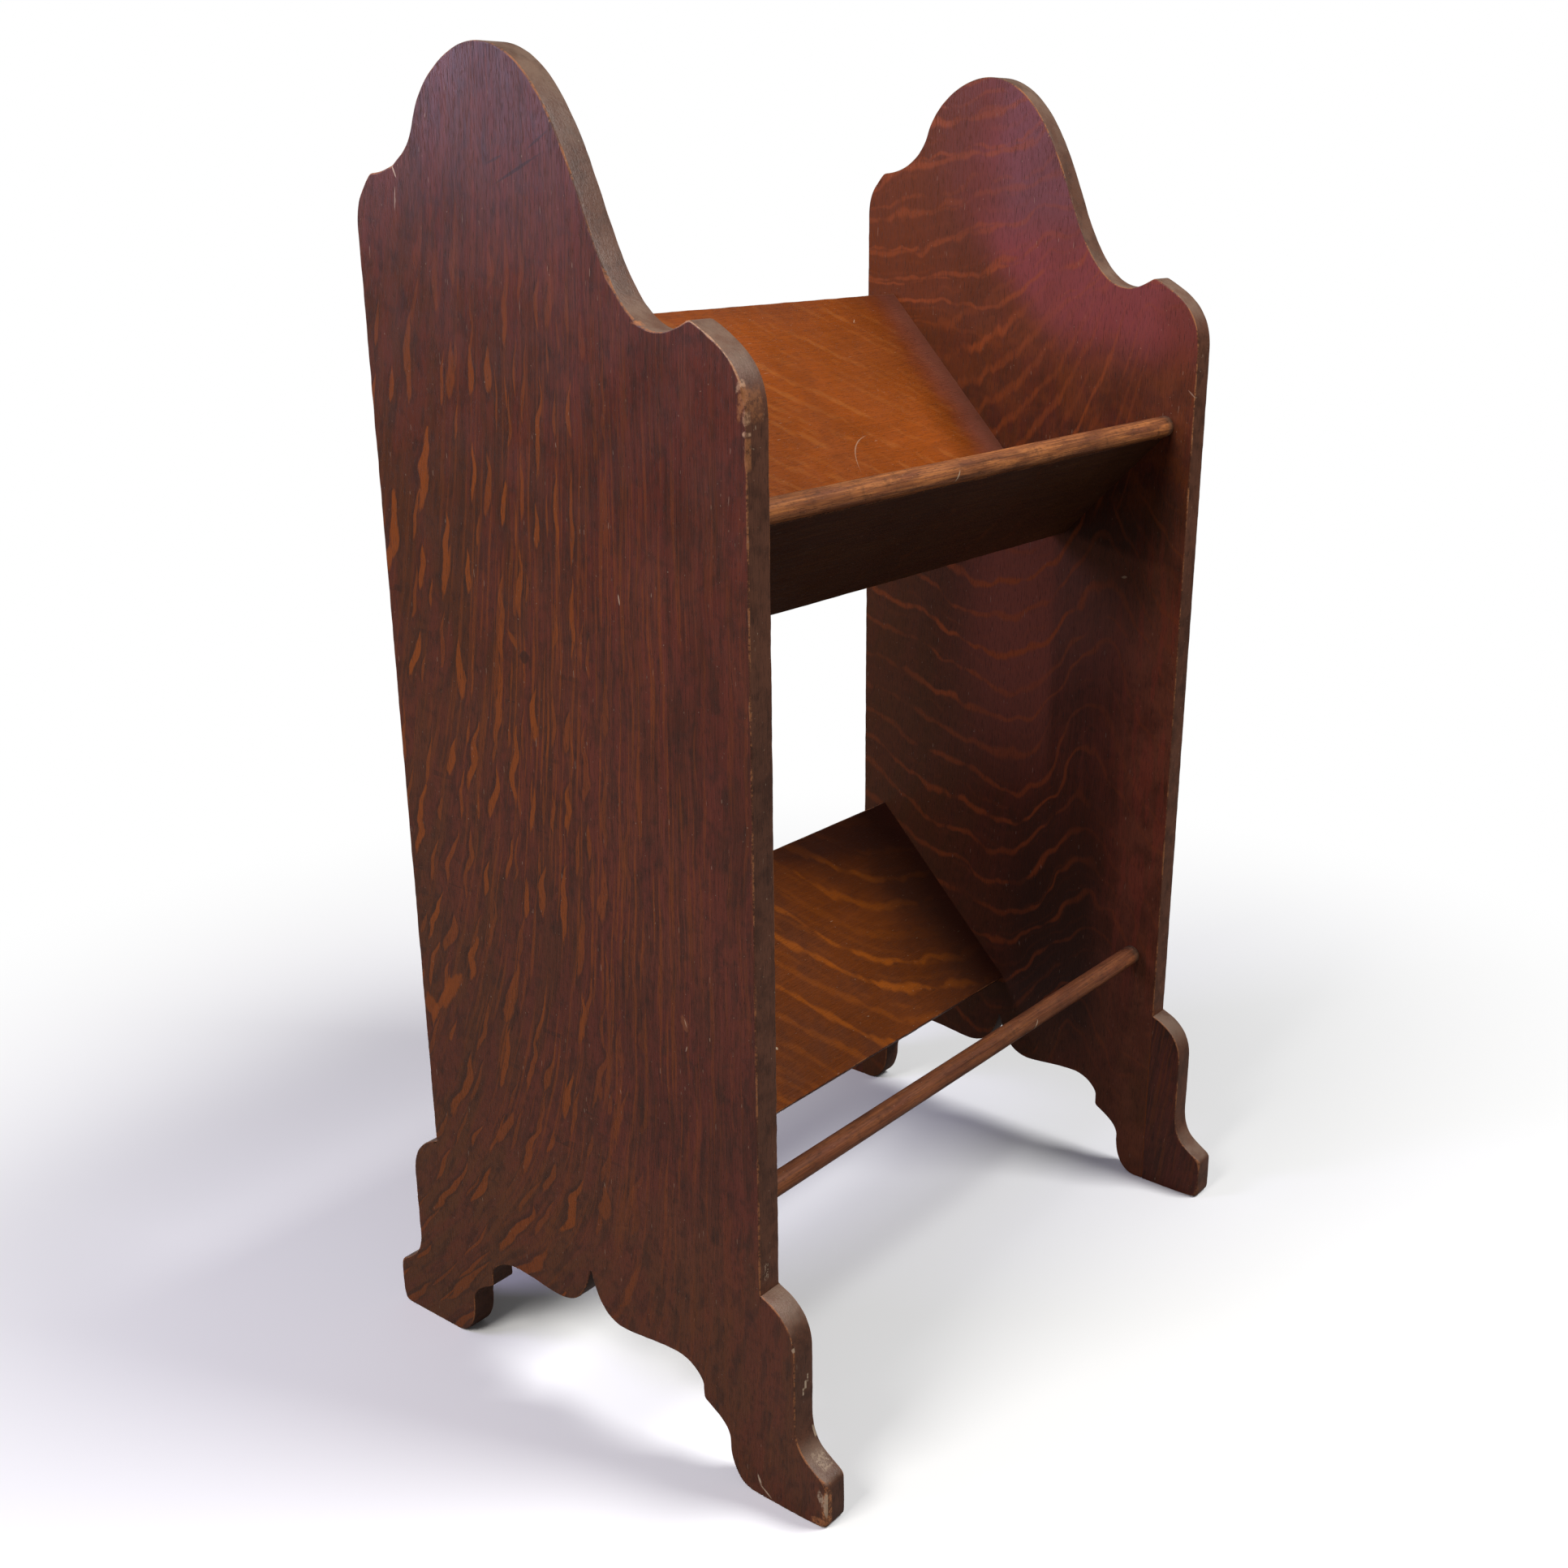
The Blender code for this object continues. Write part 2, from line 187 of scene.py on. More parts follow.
class TroughFinish(PropertyGroup):
    """Colours of the stained oak."""

    # Also the painted shade at the ends of the lower back board
    stain: colour_setting("Stain", "Dark red-brown ground of the panels", 0.108, 0.0285, 0.0165)
    # Also the painted shadow along the top of the lower back board's right part
    stain_deep: colour_setting("Deep stain", "Darker streaks of the panels", 0.050, 0.0165, 0.0105)
    red: colour_setting("Red stain", "Redder patches of the panels", 0.138, 0.0275, 0.0195)
    # Also a painted tint for the light at the back of a panel's inner face, below the trough
    brown: colour_setting("Brown stain", "Browner zones of the panels", 0.086, 0.0325, 0.0125)
    # Also the painted shade and painted shadow on a panel's inner face below the trough
    gloom: colour_setting("Gloom", "Nearly black brown beside flecks and in scratches", 0.034, 0.017, 0.0115)
    pore: colour_setting("Pore", "Nearly black of the open pores", 0.018, 0.009, 0.006)
    ray: colour_setting("Ray", "Orange-brown of the ray flecks", 0.222, 0.055, 0.0095)
    flame: colour_setting("Flame", "Red-orange of the wavy rays", 0.330, 0.0720, 0.0165)
    # Painted light: the strip where light falls between the trough and the shelf
    painted_light_strip: colour_setting("Warm strip", "Lighter strip between the trough and the shelf", 0.265, 0.074, 0.042)
    # Painted light down a panel's front edge, broken into mottling with redder strokes in it
    lit_edge_mottling: colour_setting("Mottled edge", "Lighter mottling down a panel's front edge", 0.245, 0.070, 0.036)
    stroke: colour_setting("Stroke", "Redder strokes in that mottling", 0.290, 0.052, 0.030)
    cloud: colour_setting("Cloud", "Lighter clouds of the panel inside the trough", 0.205, 0.052, 0.013)
    crest: colour_setting("Crest", "Warmer brown of the crest inside the trough", 0.160, 0.0370, 0.0085)
    # Painted light: pinker where light falls on the front half of that crest, and purplish at the ends of the
    # upper back board
    painted_rose_light: colour_setting("Rose", "Pinker brown of the front half of that crest", 0.270, 0.0590, 0.0620)
    # Painted sheen: bluish at the very top of that half
    painted_blue_sheen: colour_setting("Bloom", "Bluish film at the very top of that half", 0.114, 0.089, 0.113)
    edge: colour_setting("Edge", "Duller brown of the sawn edges", 0.104, 0.039, 0.021)
    dust: colour_setting("Dust", "Dull film on edges that face upwards", 0.230, 0.152, 0.105)
    bare: colour_setting("Bare wood", "Wood where the finish is rubbed through", 0.42, 0.16, 0.06)
    pale: colour_setting("Pale scratch", "Pale fibres in scratches and chips", 0.56, 0.42, 0.29)
    # Painted reflection: a purplish film below the trough and at the far end of the upper back board
    painted_reflection: colour_setting("Haze", "Purplish film below the trough and on its back board", 0.540, 0.220, 0.140)
    honey: colour_setting("Honey", "Lighter ground of the upper back board", 0.250, 0.0545, 0.0060)
    honey_ray: colour_setting("Honey ray", "Rays of the upper back board", 0.41, 0.135, 0.028)
    shelf: colour_setting("Shelf", "Ground of the lower back board", 0.15, 0.036, 0.0065)
    shelf_edge: colour_setting("Shelf edge", "Sawn edges of the lower back board", 0.060, 0.018, 0.012)
    shelf_ray: colour_setting("Shelf ray", "Rays of the lower back board", 0.36, 0.088, 0.006)
    # Also the painted shade at the right end of the lower back board
    shelf_dark: colour_setting("Shelf dark", "Darker end of the lower back board", 0.042, 0.0165, 0.0110)
    rail: colour_setting("Rail", "Ground of the rails", 0.150, 0.049, 0.025)
    # Partly rubbed wear and partly painted light on the top and front of the rails
    rail_rubbed_and_lit: colour_setting("Rubbed rail", "Paler top of the rails", 0.470, 0.170, 0.053)


class TroughStage(PropertyGroup):
    """Camera, lamps and floor."""

    camera_place: FloatVectorProperty(
        name="Camera place", description="Where the camera stands",
        default=(-1.016, -0.8325, 0.8703), subtype="TRANSLATION", size=3,
    )
    camera_turn: FloatVectorProperty(
        name="Camera turn", description="How the camera is turned",
        default=(math.radians(69.552), math.radians(-1.492), math.radians(-54.741)),
        subtype="EULER", size=3,
    )
    camera_lens: FloatProperty(name="Lens", description="Focal length in millimetres", default=41.917)
    camera_shift: FloatVectorProperty(
        name="Shift", description="Sideways and upward shift of the film, in frame widths",
        default=(-0.11715, 0.02106), size=2,
    )
    floor_reach: length_setting("Floor reach", "Half the width of the floor", 9.0)
    sky_level: FloatProperty(name="Sky level", description="Brightness of the room's own light", default=0.16)
    seed: IntProperty(name="Seed", description="Start of the random wear", default=100)


# Outlines


def bezier(start, leave, arrive, end, count=240):
    """Points of a cubic curve: the weighted sum of its four control points."""
    share = np.linspace(0, 1, count)[:, None]
    back = 1 - share
    return back**3 * start + 3 * back**2 * share * leave + 3 * back * share**2 * arrive + share**3 * end


def placed(knots, size, start=(0.0, 0.0)):
    """Knots with every pair made size times as large, then moved to a start."""
    size, start = np.array(size), np.array(start)
    return [tuple(None if pair is None else start + size * pair for pair in knot) for knot in knots]


def mirrored(knots):
    """The same knots, front to back."""
    return placed(knots, (-1.0, 1.0))


def turned_round(knots):
    """The same knots, run the other way."""
    return [(point, after, before) for point, before, after in reversed(knots)]


def straight(point):
    """A knot between two straight sides."""
    return [(np.array(point), None, None)]


def lengths_along(points):
    """Length along a row of points, up to each of them."""
    return np.r_[0, np.cumsum(np.linalg.norm(np.diff(points, axis=0), axis=1))]


def evenly(points, step, trim_start, trim_end):
    """A row of points spaced by about step along itself, without its first and last stretch."""
    along = lengths_along(points)
    last = along[-1] - trim_end
    count = max(2, int(round((last - trim_start) / step)) + 1)
    places = np.linspace(trim_start, last, count)
    return np.stack([np.interp(places, along, points[:, axis]) for axis in (0, 1)], axis=1)


def closed_outline(knots, step, ease):
    """Closed outline through knots, with each corner replaced by a small curve from side to side."""
    sides = []
    for (start, _, leave), (end, arrive, _) in zip(knots, knots[1:] + knots[:1]):
        leave = start + (end - start) / 3 if leave is None else leave
        arrive = end + (start - end) / 3 if arrive is None else arrive
        sides.append(bezier(start, leave, arrive, end))
    lengths = [lengths_along(side)[-1] for side in sides]
    eases = []
    for index, side in enumerate(sides):
        leave, arrive = side[1] - side[0], sides[index - 1][-1] - sides[index - 1][-2]
        turn = np.dot(leave, arrive) / np.linalg.norm(leave) / np.linalg.norm(arrive)
        eases.append(min(ease, lengths[index] / 3, lengths[index - 1] / 3) if turn < SMOOTH_TURN else 0.0)
    pieces = []
    for index, side in enumerate(sides):
        following = (index + 1) % len(sides)
        trimmed = evenly(side, step, eases[index], eases[following])
        pieces.append(trimmed if eases[following] else trimmed[:-1])
        if eases[following]:
            onward = evenly(sides[following], step, eases[following], 0)[0]
            corner = side[-1]
            pieces.append(bezier(
                trimmed[-1], trimmed[-1] + (corner - trimmed[-1]) * 2 / 3,
                onward + (corner - onward) * 2 / 3, onward, 8,
            )[1:-1])
    return np.concatenate(pieces)


def inward_normals(points):
    """Unit normals of a closed outline that point into it, from the chord between each point's neighbours."""
    chord = np.roll(points, -1, axis=0) - np.roll(points, 1, axis=0)
    normal = np.stack([-chord[:, 1], chord[:, 0]], axis=1)
    normal /= np.linalg.norm(normal, axis=1, keepdims=True)
    across, up = points.T
    area = np.sum(across * np.roll(up, -1) - np.roll(across, -1) * up)
    return normal * np.sign(area)


def wander(places, step, seed):
    """Smooth random values from -1 to 1 along a closed row of places: one value each step, cosine between."""
    count = max(3, int(round(places[-1] / step)))
    values = np.random.default_rng(seed).uniform(-1, 1, count)
    cells = places / places[-1] * (count - 1e-6)
    index = cells.astype(int)
    ease = (1 - np.cos((cells - index) * np.pi)) / 2
    return values[index % count] * (1 - ease) + values[(index + 1) % count] * ease


# Meshes


def capped_grid(rows, columns):
    """Quads of a grid of points whose rows close to a ring, and one flat face at each end of its columns."""
    row, column = np.arange(rows)[:, None], np.arange(columns - 1)
    onward, beside = (row + 1) % rows, column + 1
    corners = (row, column), (onward, column), (onward, beside), (row, beside)
    quads = np.stack([r * columns + c for r, c in corners], axis=-1).reshape(-1, 4)
    first = np.arange(rows) * columns
    return quads.tolist() + [first.tolist(), (first + columns - 1).tolist()]


def new_piece(name, grid, grain, arris, face):
    """A closed mesh on a grid of points, with the grain and the arris, face and upward shares of each point.

    Its two flat ends are the last two faces; all others are smooth. The upward share is the normal's height.
    """
    mesh = bpy.data.meshes.new(name)
    points = grid.reshape(-1, 3)
    mesh.from_pydata(points.tolist(), [], capped_grid(*grid.shape[:2]))
    shape = bmesh.new()
    shape.from_mesh(mesh)
    bmesh.ops.recalc_face_normals(shape, faces=shape.faces)
    shape.to_mesh(mesh)
    shape.free()
    normals = np.empty(3 * len(points), dtype=np.float32)
    mesh.vertex_normals.foreach_get("vector", normals)
    for key, kind, slot, values in (
        ("upward", "FLOAT", "value", normals.reshape(-1, 3)[:, 2]),
        ("grain", "FLOAT_VECTOR", "vector", grain),
        ("arris", "FLOAT", "value", arris),
        ("face", "FLOAT", "value", face),
    ):
        mesh.attributes.new(key, kind, "POINT").data.foreach_set(slot, values.ravel())
    smooth = np.ones(len(mesh.polygons), dtype=bool)
    smooth[-2:] = False
    mesh.polygons.foreach_set("use_smooth", smooth)
    piece = bpy.data.objects.new(name, mesh)
    bpy.context.scene.collection.objects.link(piece)
    return piece


def edge_profile(thickness, turns=6):
    """Half profile of an edge: place across the thickness and inset, each a fixed part and a part per radius.

    A quarter circle of radius r joins the face to the edge: x = -T/2 + r (1 - cos a), inset = r (1 - sin a).
    """
    angle = np.linspace(0, np.pi / 2, turns + 1)
    fixed_x = np.r_[-thickness / 2, np.full(turns + 1, -thickness / 2), -thickness / 6]
    radius_x = np.r_[0, 1 - np.cos(angle), 0]
    fixed_inset = np.r_[PANEL_RIM, np.zeros(turns + 2)]
    radius_inset = np.r_[1, 1 - np.sin(angle), 0]
    arris = np.r_[0, np.sin(2 * angle), 0]
    face = np.r_[1, np.clip(1 - angle / (np.pi / 4), 0, 1), 0]
    return fixed_x, radius_x, fixed_inset, radius_inset, arris, face


def chipped(points, radius, chips):
    """Arris radii with chips: each adds its depth times exp(-(distance / reach)^2)."""
    for across, up, reach, depth in chips:
        distance = np.hypot(points[:, 0] - across, points[:, 1] - up)
        radius = radius + depth * np.exp(-((distance / reach) ** 2))
    return radius


def flat_piece(name, points, glued, centre_x, sizes, seed, chips, grain_place):
    """A board cut to an outline, its edge profile carried round the outline.

    Point (i, j) lies at x = centre + a_j + b_j r_i and on the outline point i moved in by c_j + d_j r_i.
    The arris radius r_i wanders along the edge, grows at chips and nearly vanishes beside a glue seam.
    """
    normals = inward_normals(points)
    along = lengths_along(points)
    fixed_x, radius_x, fixed_inset, radius_inset, arris, face = edge_profile(PANEL_THICKNESS)
    halves = []
    for side in (-1, 1):
        worn = 1 + 0.30 * wander(along, 0.011, seed + side) + 0.22 * wander(along, 0.0045, seed + 9 * side)
        radius = chipped(points, sizes.arris_radius * worn, chips if side < 0 else ())
        radius = np.where(glued, sizes.seam_radius, radius)[:, None]
        x = centre_x - side * (fixed_x + radius_x * radius)
        inset = fixed_inset + radius_inset * radius
        place = points[:, None, :] + normals[:, None, :] * inset[..., None]
        halves.append(np.concatenate([x[..., None], place], axis=2)[:, ::-side])
    grid = np.concatenate(halves, axis=1)
    arris = np.r_[arris, arris[::-1]] * np.where(glued, 0, 1)[:, None]
    face = np.broadcast_to(np.r_[face, face[::-1]], arris.shape)
    return new_piece(name, grid, grain_place(grid.reshape(-1, 3)), arris, face)


def section_profile(corners, turns=6):
    """A polygon's outline with rounded corners, as a fixed part and a part per radius of each point.

    At each corner the arc's middle lies on the bisector, r / sin(half angle) from the corner.
    """
    corners = np.array(corners)
    before = np.roll(corners, 1, axis=0) - corners
    after = np.roll(corners, -1, axis=0) - corners
    before /= np.linalg.norm(before, axis=1, keepdims=True)
    after /= np.linalg.norm(after, axis=1, keepdims=True)
    bisector = before + after
    bisector /= np.linalg.norm(bisector, axis=1, keepdims=True)
    sine = np.sqrt((1 - np.sum(before * after, axis=1)) / 2)[:, None]
    middle = bisector / sine
    reach = np.sqrt(1 / sine**2 - 1)
    start, end = before * reach - middle, after * reach - middle
    share = np.linspace(0, 1, turns + 1)[None, :, None]
    turn = np.arccos(np.clip(np.sum(start * end, axis=1), -1, 1))[:, None, None]
    arc = (np.sin((1 - share) * turn) * start[:, None] + np.sin(share * turn) * end[:, None]) / np.sin(turn)
    arc += middle[:, None]
    fixed = np.repeat(corners[:, None], turns + 3, axis=1)
    fixed[:, 0] += before * BOARD_RIM
    fixed[:, -1] += after * BOARD_RIM
    per_radius = np.concatenate([arc[:, :1], arc, arc[:, -1:]], axis=1)
    arris = np.r_[0, np.sin(np.linspace(0, np.pi, turns + 1)), 0]
    face = np.r_[1, np.abs(np.linspace(-1, 1, turns + 1)), 1]
    count = len(corners)
    return fixed.reshape(-1, 2), per_radius.reshape(-1, 2), np.tile(arris, count), np.tile(face, count)


def board_piece(name, corners, low_x, high_x, sizes, seed, grain_place):
    """A board along X: its rounded section carried along the length, with an arris radius that wanders."""
    fixed, per_radius, arris, face = section_profile(corners)
    stations = np.linspace(low_x, high_x, int((high_x - low_x) / BOARD_STEP))
    along = stations - low_x
    worn = 0.9 + 0.30 * wander(along, 0.012, seed) + 0.20 * wander(along, 0.005, seed + 1)
    radius = sizes.arris_radius * worn
    place = fixed[:, None] + per_radius[:, None] * radius[None, :, None]
    size = place.shape[:2]
    grid = np.concatenate([np.broadcast_to(stations, size)[..., None], place], axis=2)
    arris, face = np.broadcast_to(arris[:, None], size), np.broadcast_to(face[:, None], size)
    return new_piece(name, grid, grain_place(grid.reshape(-1, 3)), arris, face)


def rail_piece(name, low, high, seed):
    """A hand-turned rail: radius r (1 - dip), with a dip that wanders slowly along X and faintly round it.

    Its arris share says how pale it is, partly rubbed wear and partly painted light: 0.75 + 0.35 sin a
    - 0.65 cos a, most on top and at the front, with a the angle round it from the back. Its grain is the
    place along it, round it, and 0.3 r sin a deep.
    """
    middle_y, middle_z = (low.y + high.y) / 2, (low.z + high.z) / 2
    radius = (high.z - low.z) / 2
    stations = np.linspace(low.x, high.x, RAIL_STATIONS)
    angle = np.linspace(0, 2 * np.pi, RAIL_SIDES, endpoint=False)[:, None]
    along = stations - low.x
    dip = 0.010 + 0.009 * wander(along, 0.045, seed) + 0.006 * np.sin(2 * angle + along * 9)
    dip = np.clip(dip, 0.0005, None)
    y = middle_y + radius * (1 - dip) * np.cos(angle)
    z = middle_z + radius * (1 - dip) * np.sin(angle)
    x = np.broadcast_to(stations, y.shape)
    round_place = np.broadcast_to(angle * radius, y.shape)
    depth = np.broadcast_to(radius * np.sin(angle) * 0.3, y.shape)
    grain = np.stack([x, round_place, depth], axis=2).reshape(-1, 3)
    # Paleness round the rail: rubbed wear on top, and painted light over its top and front
    rubbed = np.clip(0.75 + 0.35 * np.sin(angle) - 0.65 * np.cos(angle), 0, 1) * np.ones_like(x)
    return new_piece(name, np.stack([x, y, z], axis=2), grain, rubbed, np.ones_like(x))


# Node trees


class Field:
    """A value, vector or colour inside a node tree. Arithmetic on it adds Math nodes."""

    def __init__(self, weave, socket):
        self.weave, self.socket = weave, socket

    def __add__(self, other):
        return self.weave.math("ADD", self, other)

    def __sub__(self, other):
        return self.weave.math("SUBTRACT", self, other)

    def __rsub__(self, other):
        return self.weave.math("SUBTRACT", other, self)

    def __mul__(self, other):
        return self.weave.math("MULTIPLY", self, other)

    def __truediv__(self, other):
        return self.weave.math("DIVIDE", self, other)

    def __pow__(self, other):
        return self.weave.math("POWER", self, other)

    def __abs__(self):
        return self.weave.math("ABSOLUTE", self)

    def exp(self):
        """The number e to the power of this value."""
        return self.weave.math("EXPONENT", self)

    def larger(self, other):
        """The larger of two values."""
        return self.weave.math("MAXIMUM", self, other)

    def ramp(self, low, high, from_value=0.0, to_value=1.0):
        """A smooth step from low to high, put out as from_value to to_value."""
        return self.weave.value(
            "ShaderNodeMapRange", {0: self, 1: low, 2: high, 3: from_value, 4: to_value},
            interpolation_type="SMOOTHSTEP",
        )

    def window(self, low, full_from, full_to, high):
        """Nothing below low, all of it from full_from to full_to, nothing above high, with smooth steps."""
        return self.ramp(low, full_from) * self.ramp(high, full_to)


class Weaver:
    """Adds nodes to one node tree. Inputs may be numbers or fields."""

    def __init__(self, tree):
        self.tree = tree

    def fill(self, socket, value):
        """Link a field to a socket, or set the socket's value."""
        if isinstance(value, Field):
            self.tree.links.new(value.socket, socket)
        else:
            socket.default_value = value

    def node(self, kind, inputs=None, **settings):
        """One node with its settings and its named or numbered inputs."""
        made = self.tree.nodes.new(kind)
        for key, value in settings.items():
            setattr(made, key, value)
        for key, value in (inputs or {}).items():
            self.fill(made.inputs[key], value)
        return made

    def values(self, kind, inputs=None, **settings):
        """All outputs of a new node."""
        return [Field(self, socket) for socket in self.node(kind, inputs, **settings).outputs]

    def value(self, kind, inputs=None, output=0, **settings):
        """One output of a new node, by its name or number."""
        return Field(self, self.node(kind, inputs, **settings).outputs[output])

    def math(self, operation, *values):
        """The result of one Math node."""
        return self.value("ShaderNodeMath", dict(enumerate(values)), operation=operation)

    def vector(self, x, y, z=0.0):
        return self.value("ShaderNodeCombineXYZ", {0: x, 1: y, 2: z})

    def parts(self, vector):
        """The three parts of a vector."""
        return self.values("ShaderNodeSeparateXYZ", {0: vector})

    def noise(self, vector, detail=1.0, roughness=0.5, scale=1.0):
        """Value of a noise of about one blotch a unit, near 0.5 on average."""
        return self.value(
            "ShaderNodeTexNoise", {"Vector": vector, "Scale": scale, "Detail": detail, "Roughness": roughness}
        )

    def waver(self, vector, amount, detail=2.0, roughness=0.5, scale=1.0):
        """The same noise as a shift to both sides of nought, amount wide."""
        return (self.noise(vector, detail, roughness, scale) - 0.5) * amount

    def mix(self, share, first, second, blend="MIX"):
        """Mix of two colours."""
        made = self.node("ShaderNodeMix", {0: share}, data_type="RGBA", blend_type=blend)
        ends = [socket for socket in made.inputs if socket.type == "RGBA"]
        for socket, value in zip(ends, (first, second)):
            self.fill(socket, value if isinstance(value, Field) else (*value, 1))
        return Field(self, [socket for socket in made.outputs if socket.type == "RGBA"][0])

    def attribute(self, name, output="Fac"):
        return self.value("ShaderNodeAttribute", output=output, attribute_name=name)


def streak_mask(weave, grain, length, width, detail, low, high):
    """Streaks along the grain: noise stretched to a length and a width, cut between two levels."""
    along, across, depth = weave.parts(grain)
    stretched = weave.vector(along / length, across / width, depth / width)
    return [weave.noise(stretched, detail).ramp(low, high)]


def fleck_masks(weave, grain, length, width, wind, long, wide, kept):
    """Ray flecks in columns along the grain: each cell of a column holds one pointed, winding blot.

    With u and v the place in a cell, across and along, less the cell's own shift, the blot is where
    (v / half length)^2 + (|u| / half width)^1.4 is less than 1, with a width that grows towards its foot.
    A noise winds the columns, so the blots wind too. The shade is the dark rim round a blot, heavier on
    one side of it.
    """
    along, across, _ = weave.parts(grain)
    ragged = weave.waver(weave.vector(along / 0.006, across / 0.0012), 0.9, 2, 0.6)
    across = (across + weave.waver(weave.vector(along / 0.026, across / 0.045), wind, 1, 0.4)) / width
    column = weave.math("ROUND", across)
    along = along / length + weave.value("ShaderNodeTexWhiteNoise", {"W": column}, noise_dimensions="1D")
    cell = weave.math("ROUND", along)
    chance, colour = weave.values(
        "ShaderNodeTexWhiteNoise", {"Vector": weave.vector(column, cell)}, noise_dimensions="2D"
    )
    own = weave.values("ShaderNodeSeparateColor", {0: colour})
    u = across - column - (own[0] - 0.5) * 0.45
    v = along - cell - (own[1] - 0.5) * 0.24
    reach = v / (long * own[2].ramp(0.0, 1.0, 0.50, 1.12))
    half_wide = wide * own[0].ramp(0.0, 1.0, 0.60, 1.30) * (0.92 - reach * 0.38)
    reach = reach * reach
    kept = weave.math("LESS_THAN", chance, kept)
    blot = (reach + (abs(u) / half_wide) ** 1.4 + ragged).ramp(1.25, 0.75)
    rim = (reach + abs(u - 0.05) / half_wide * 0.75 + ragged).ramp(1.8, 1.0)
    return [blot * kept * own[1].ramp(0.0, 1.0, 0.6, 1.0), rim * kept * (1.0 - blot)]


def ray_mask(weave, grain, spacing, waver, run, thin, breaks, weakest):
    """Wavy ray lines across the grain: a ridge where the wavering place along the grain nears a whole number.

    Each line has its own strength, and a noise thins it and breaks it.
    """
    along, across, depth = weave.parts(grain)
    place = along / spacing
    place = place + weave.waver(weave.vector(place * 0.35, across / run, depth), waver, 2, 0.6)
    line = weave.math("ROUND", place)
    own = weave.value("ShaderNodeTexWhiteNoise", {"W": line}, noise_dimensions="1D")
    fine = weave.noise(weave.vector(across / 0.024, line * 3.7, place * 0.6), 2, 0.6)
    width = thin * fine.ramp(0.25, 0.75, 0.45, 1.5)
    strip = abs(place - line).ramp(width, width * 0.2)
    whole = fine.ramp(breaks * 0.75, breaks + 0.12)
    return [strip * whole * (weakest + own * (1.0 - weakest))]


def lens_mask(weave, grain, place_along, place_across, place_depth, length, width, deep, lean, bow):
    """One lens-shaped mark: a scratch, a stain or a single large fleck.

    With u and v the place along and across the mark's own leaning axis, in half lengths and half
    widths, the mark is where u^2 + |v| is less than 1, softened at its rim. It ends at a depth.
    """
    along, across, depth = weave.parts(grain)
    along, across = along - place_along, across - place_across
    cosine, sine = weave.math("COSINE", lean), weave.math("SINE", lean)
    u = (along * cosine + across * sine) / (length * 0.5)
    v = (across * cosine - along * sine) / (width * 0.5)
    u_square = u * u
    rim = u_square + abs(v + bow * u_square) + weave.waver(grain, 0.9, 2, 0.6, 260.0)
    return [rim.ramp(1.05, 0.55) * abs(depth - place_depth).ramp(deep, deep * 0.7)]


def wear_mask(weave, grain, arris, amount):
    """Rubbed arrises: the arris share times a noise that comes and goes along the edge."""
    rubbed = weave.noise(grain, 2, 0.6, 40.0) * 0.55 + weave.noise(grain, 3, 0.7, 500.0) * 0.45
    start = 0.66 - amount * 0.35
    return [rubbed.ramp(start, start + 0.10) * arris.ramp(0.10, 0.55)]


# Node groups: what makes each, its inputs after the grain with their defaults, and its outputs
GROUPS = {
    "Oak streaks": (
        streak_mask, {"Length": 0.06, "Width": 0.002, "Detail": 2.0, "Low": 0.4, "High": 0.6}, ("Mask",),
    ),
    "Oak flecks": (
        fleck_masks,
        {"Length": 0.065, "Width": 0.027, "Wind": 0.010, "Long": 0.34, "Wide": 0.15, "Kept": 0.7},
        ("Mask", "Shade"),
    ),
    "Oak rays": (
        ray_mask,
        {"Spacing": 0.03, "Waver": 0.8, "Run": 0.03, "Thin": 0.16, "Breaks": 0.5, "Weakest": 0.25}, ("Mask",),
    ),
    "Oak mark": (
        lens_mask,
        {
            "Along": 0.5, "Across": 0.0, "Depth": 0.0, "Length": 0.05, "Width": 0.006, "Deep": 0.05,
            "Lean": 0.0, "Bow": 0.0,
        },
        ("Mask",),
    ),
    "Oak arris wear": (wear_mask, {"Arris": 0.0, "Amount": 0.5}, ("Mask",)),
}


def shared_group(name):
    """One of the node groups that the oak materials share, made on its first use."""
    if name in bpy.data.node_groups:
        return bpy.data.node_groups[name]
    maker, inputs, outputs = GROUPS[name]
    tree = bpy.data.node_groups.new(name, "ShaderNodeTree")
    tree.interface.new_socket("Grain", in_out="INPUT", socket_type="NodeSocketVector")
    for socket, default in inputs.items():
        made = tree.interface.new_socket(socket, in_out="INPUT", socket_type="NodeSocketFloat")
        made.default_value = default
    for socket in outputs:
        tree.interface.new_socket(socket, in_out="OUTPUT", socket_type="NodeSocketFloat")
    weave = Weaver(tree)
    given = weave.values("NodeGroupInput")[:len(inputs) + 1]
    result = weave.node("NodeGroupOutput").inputs
    for index, mask in enumerate(maker(weave, *given)):
        weave.fill(result[index], mask)
    return tree


def scaled(colour, share):
    """A colour made lighter or darker."""
    return tuple(channel * share for channel in colour)


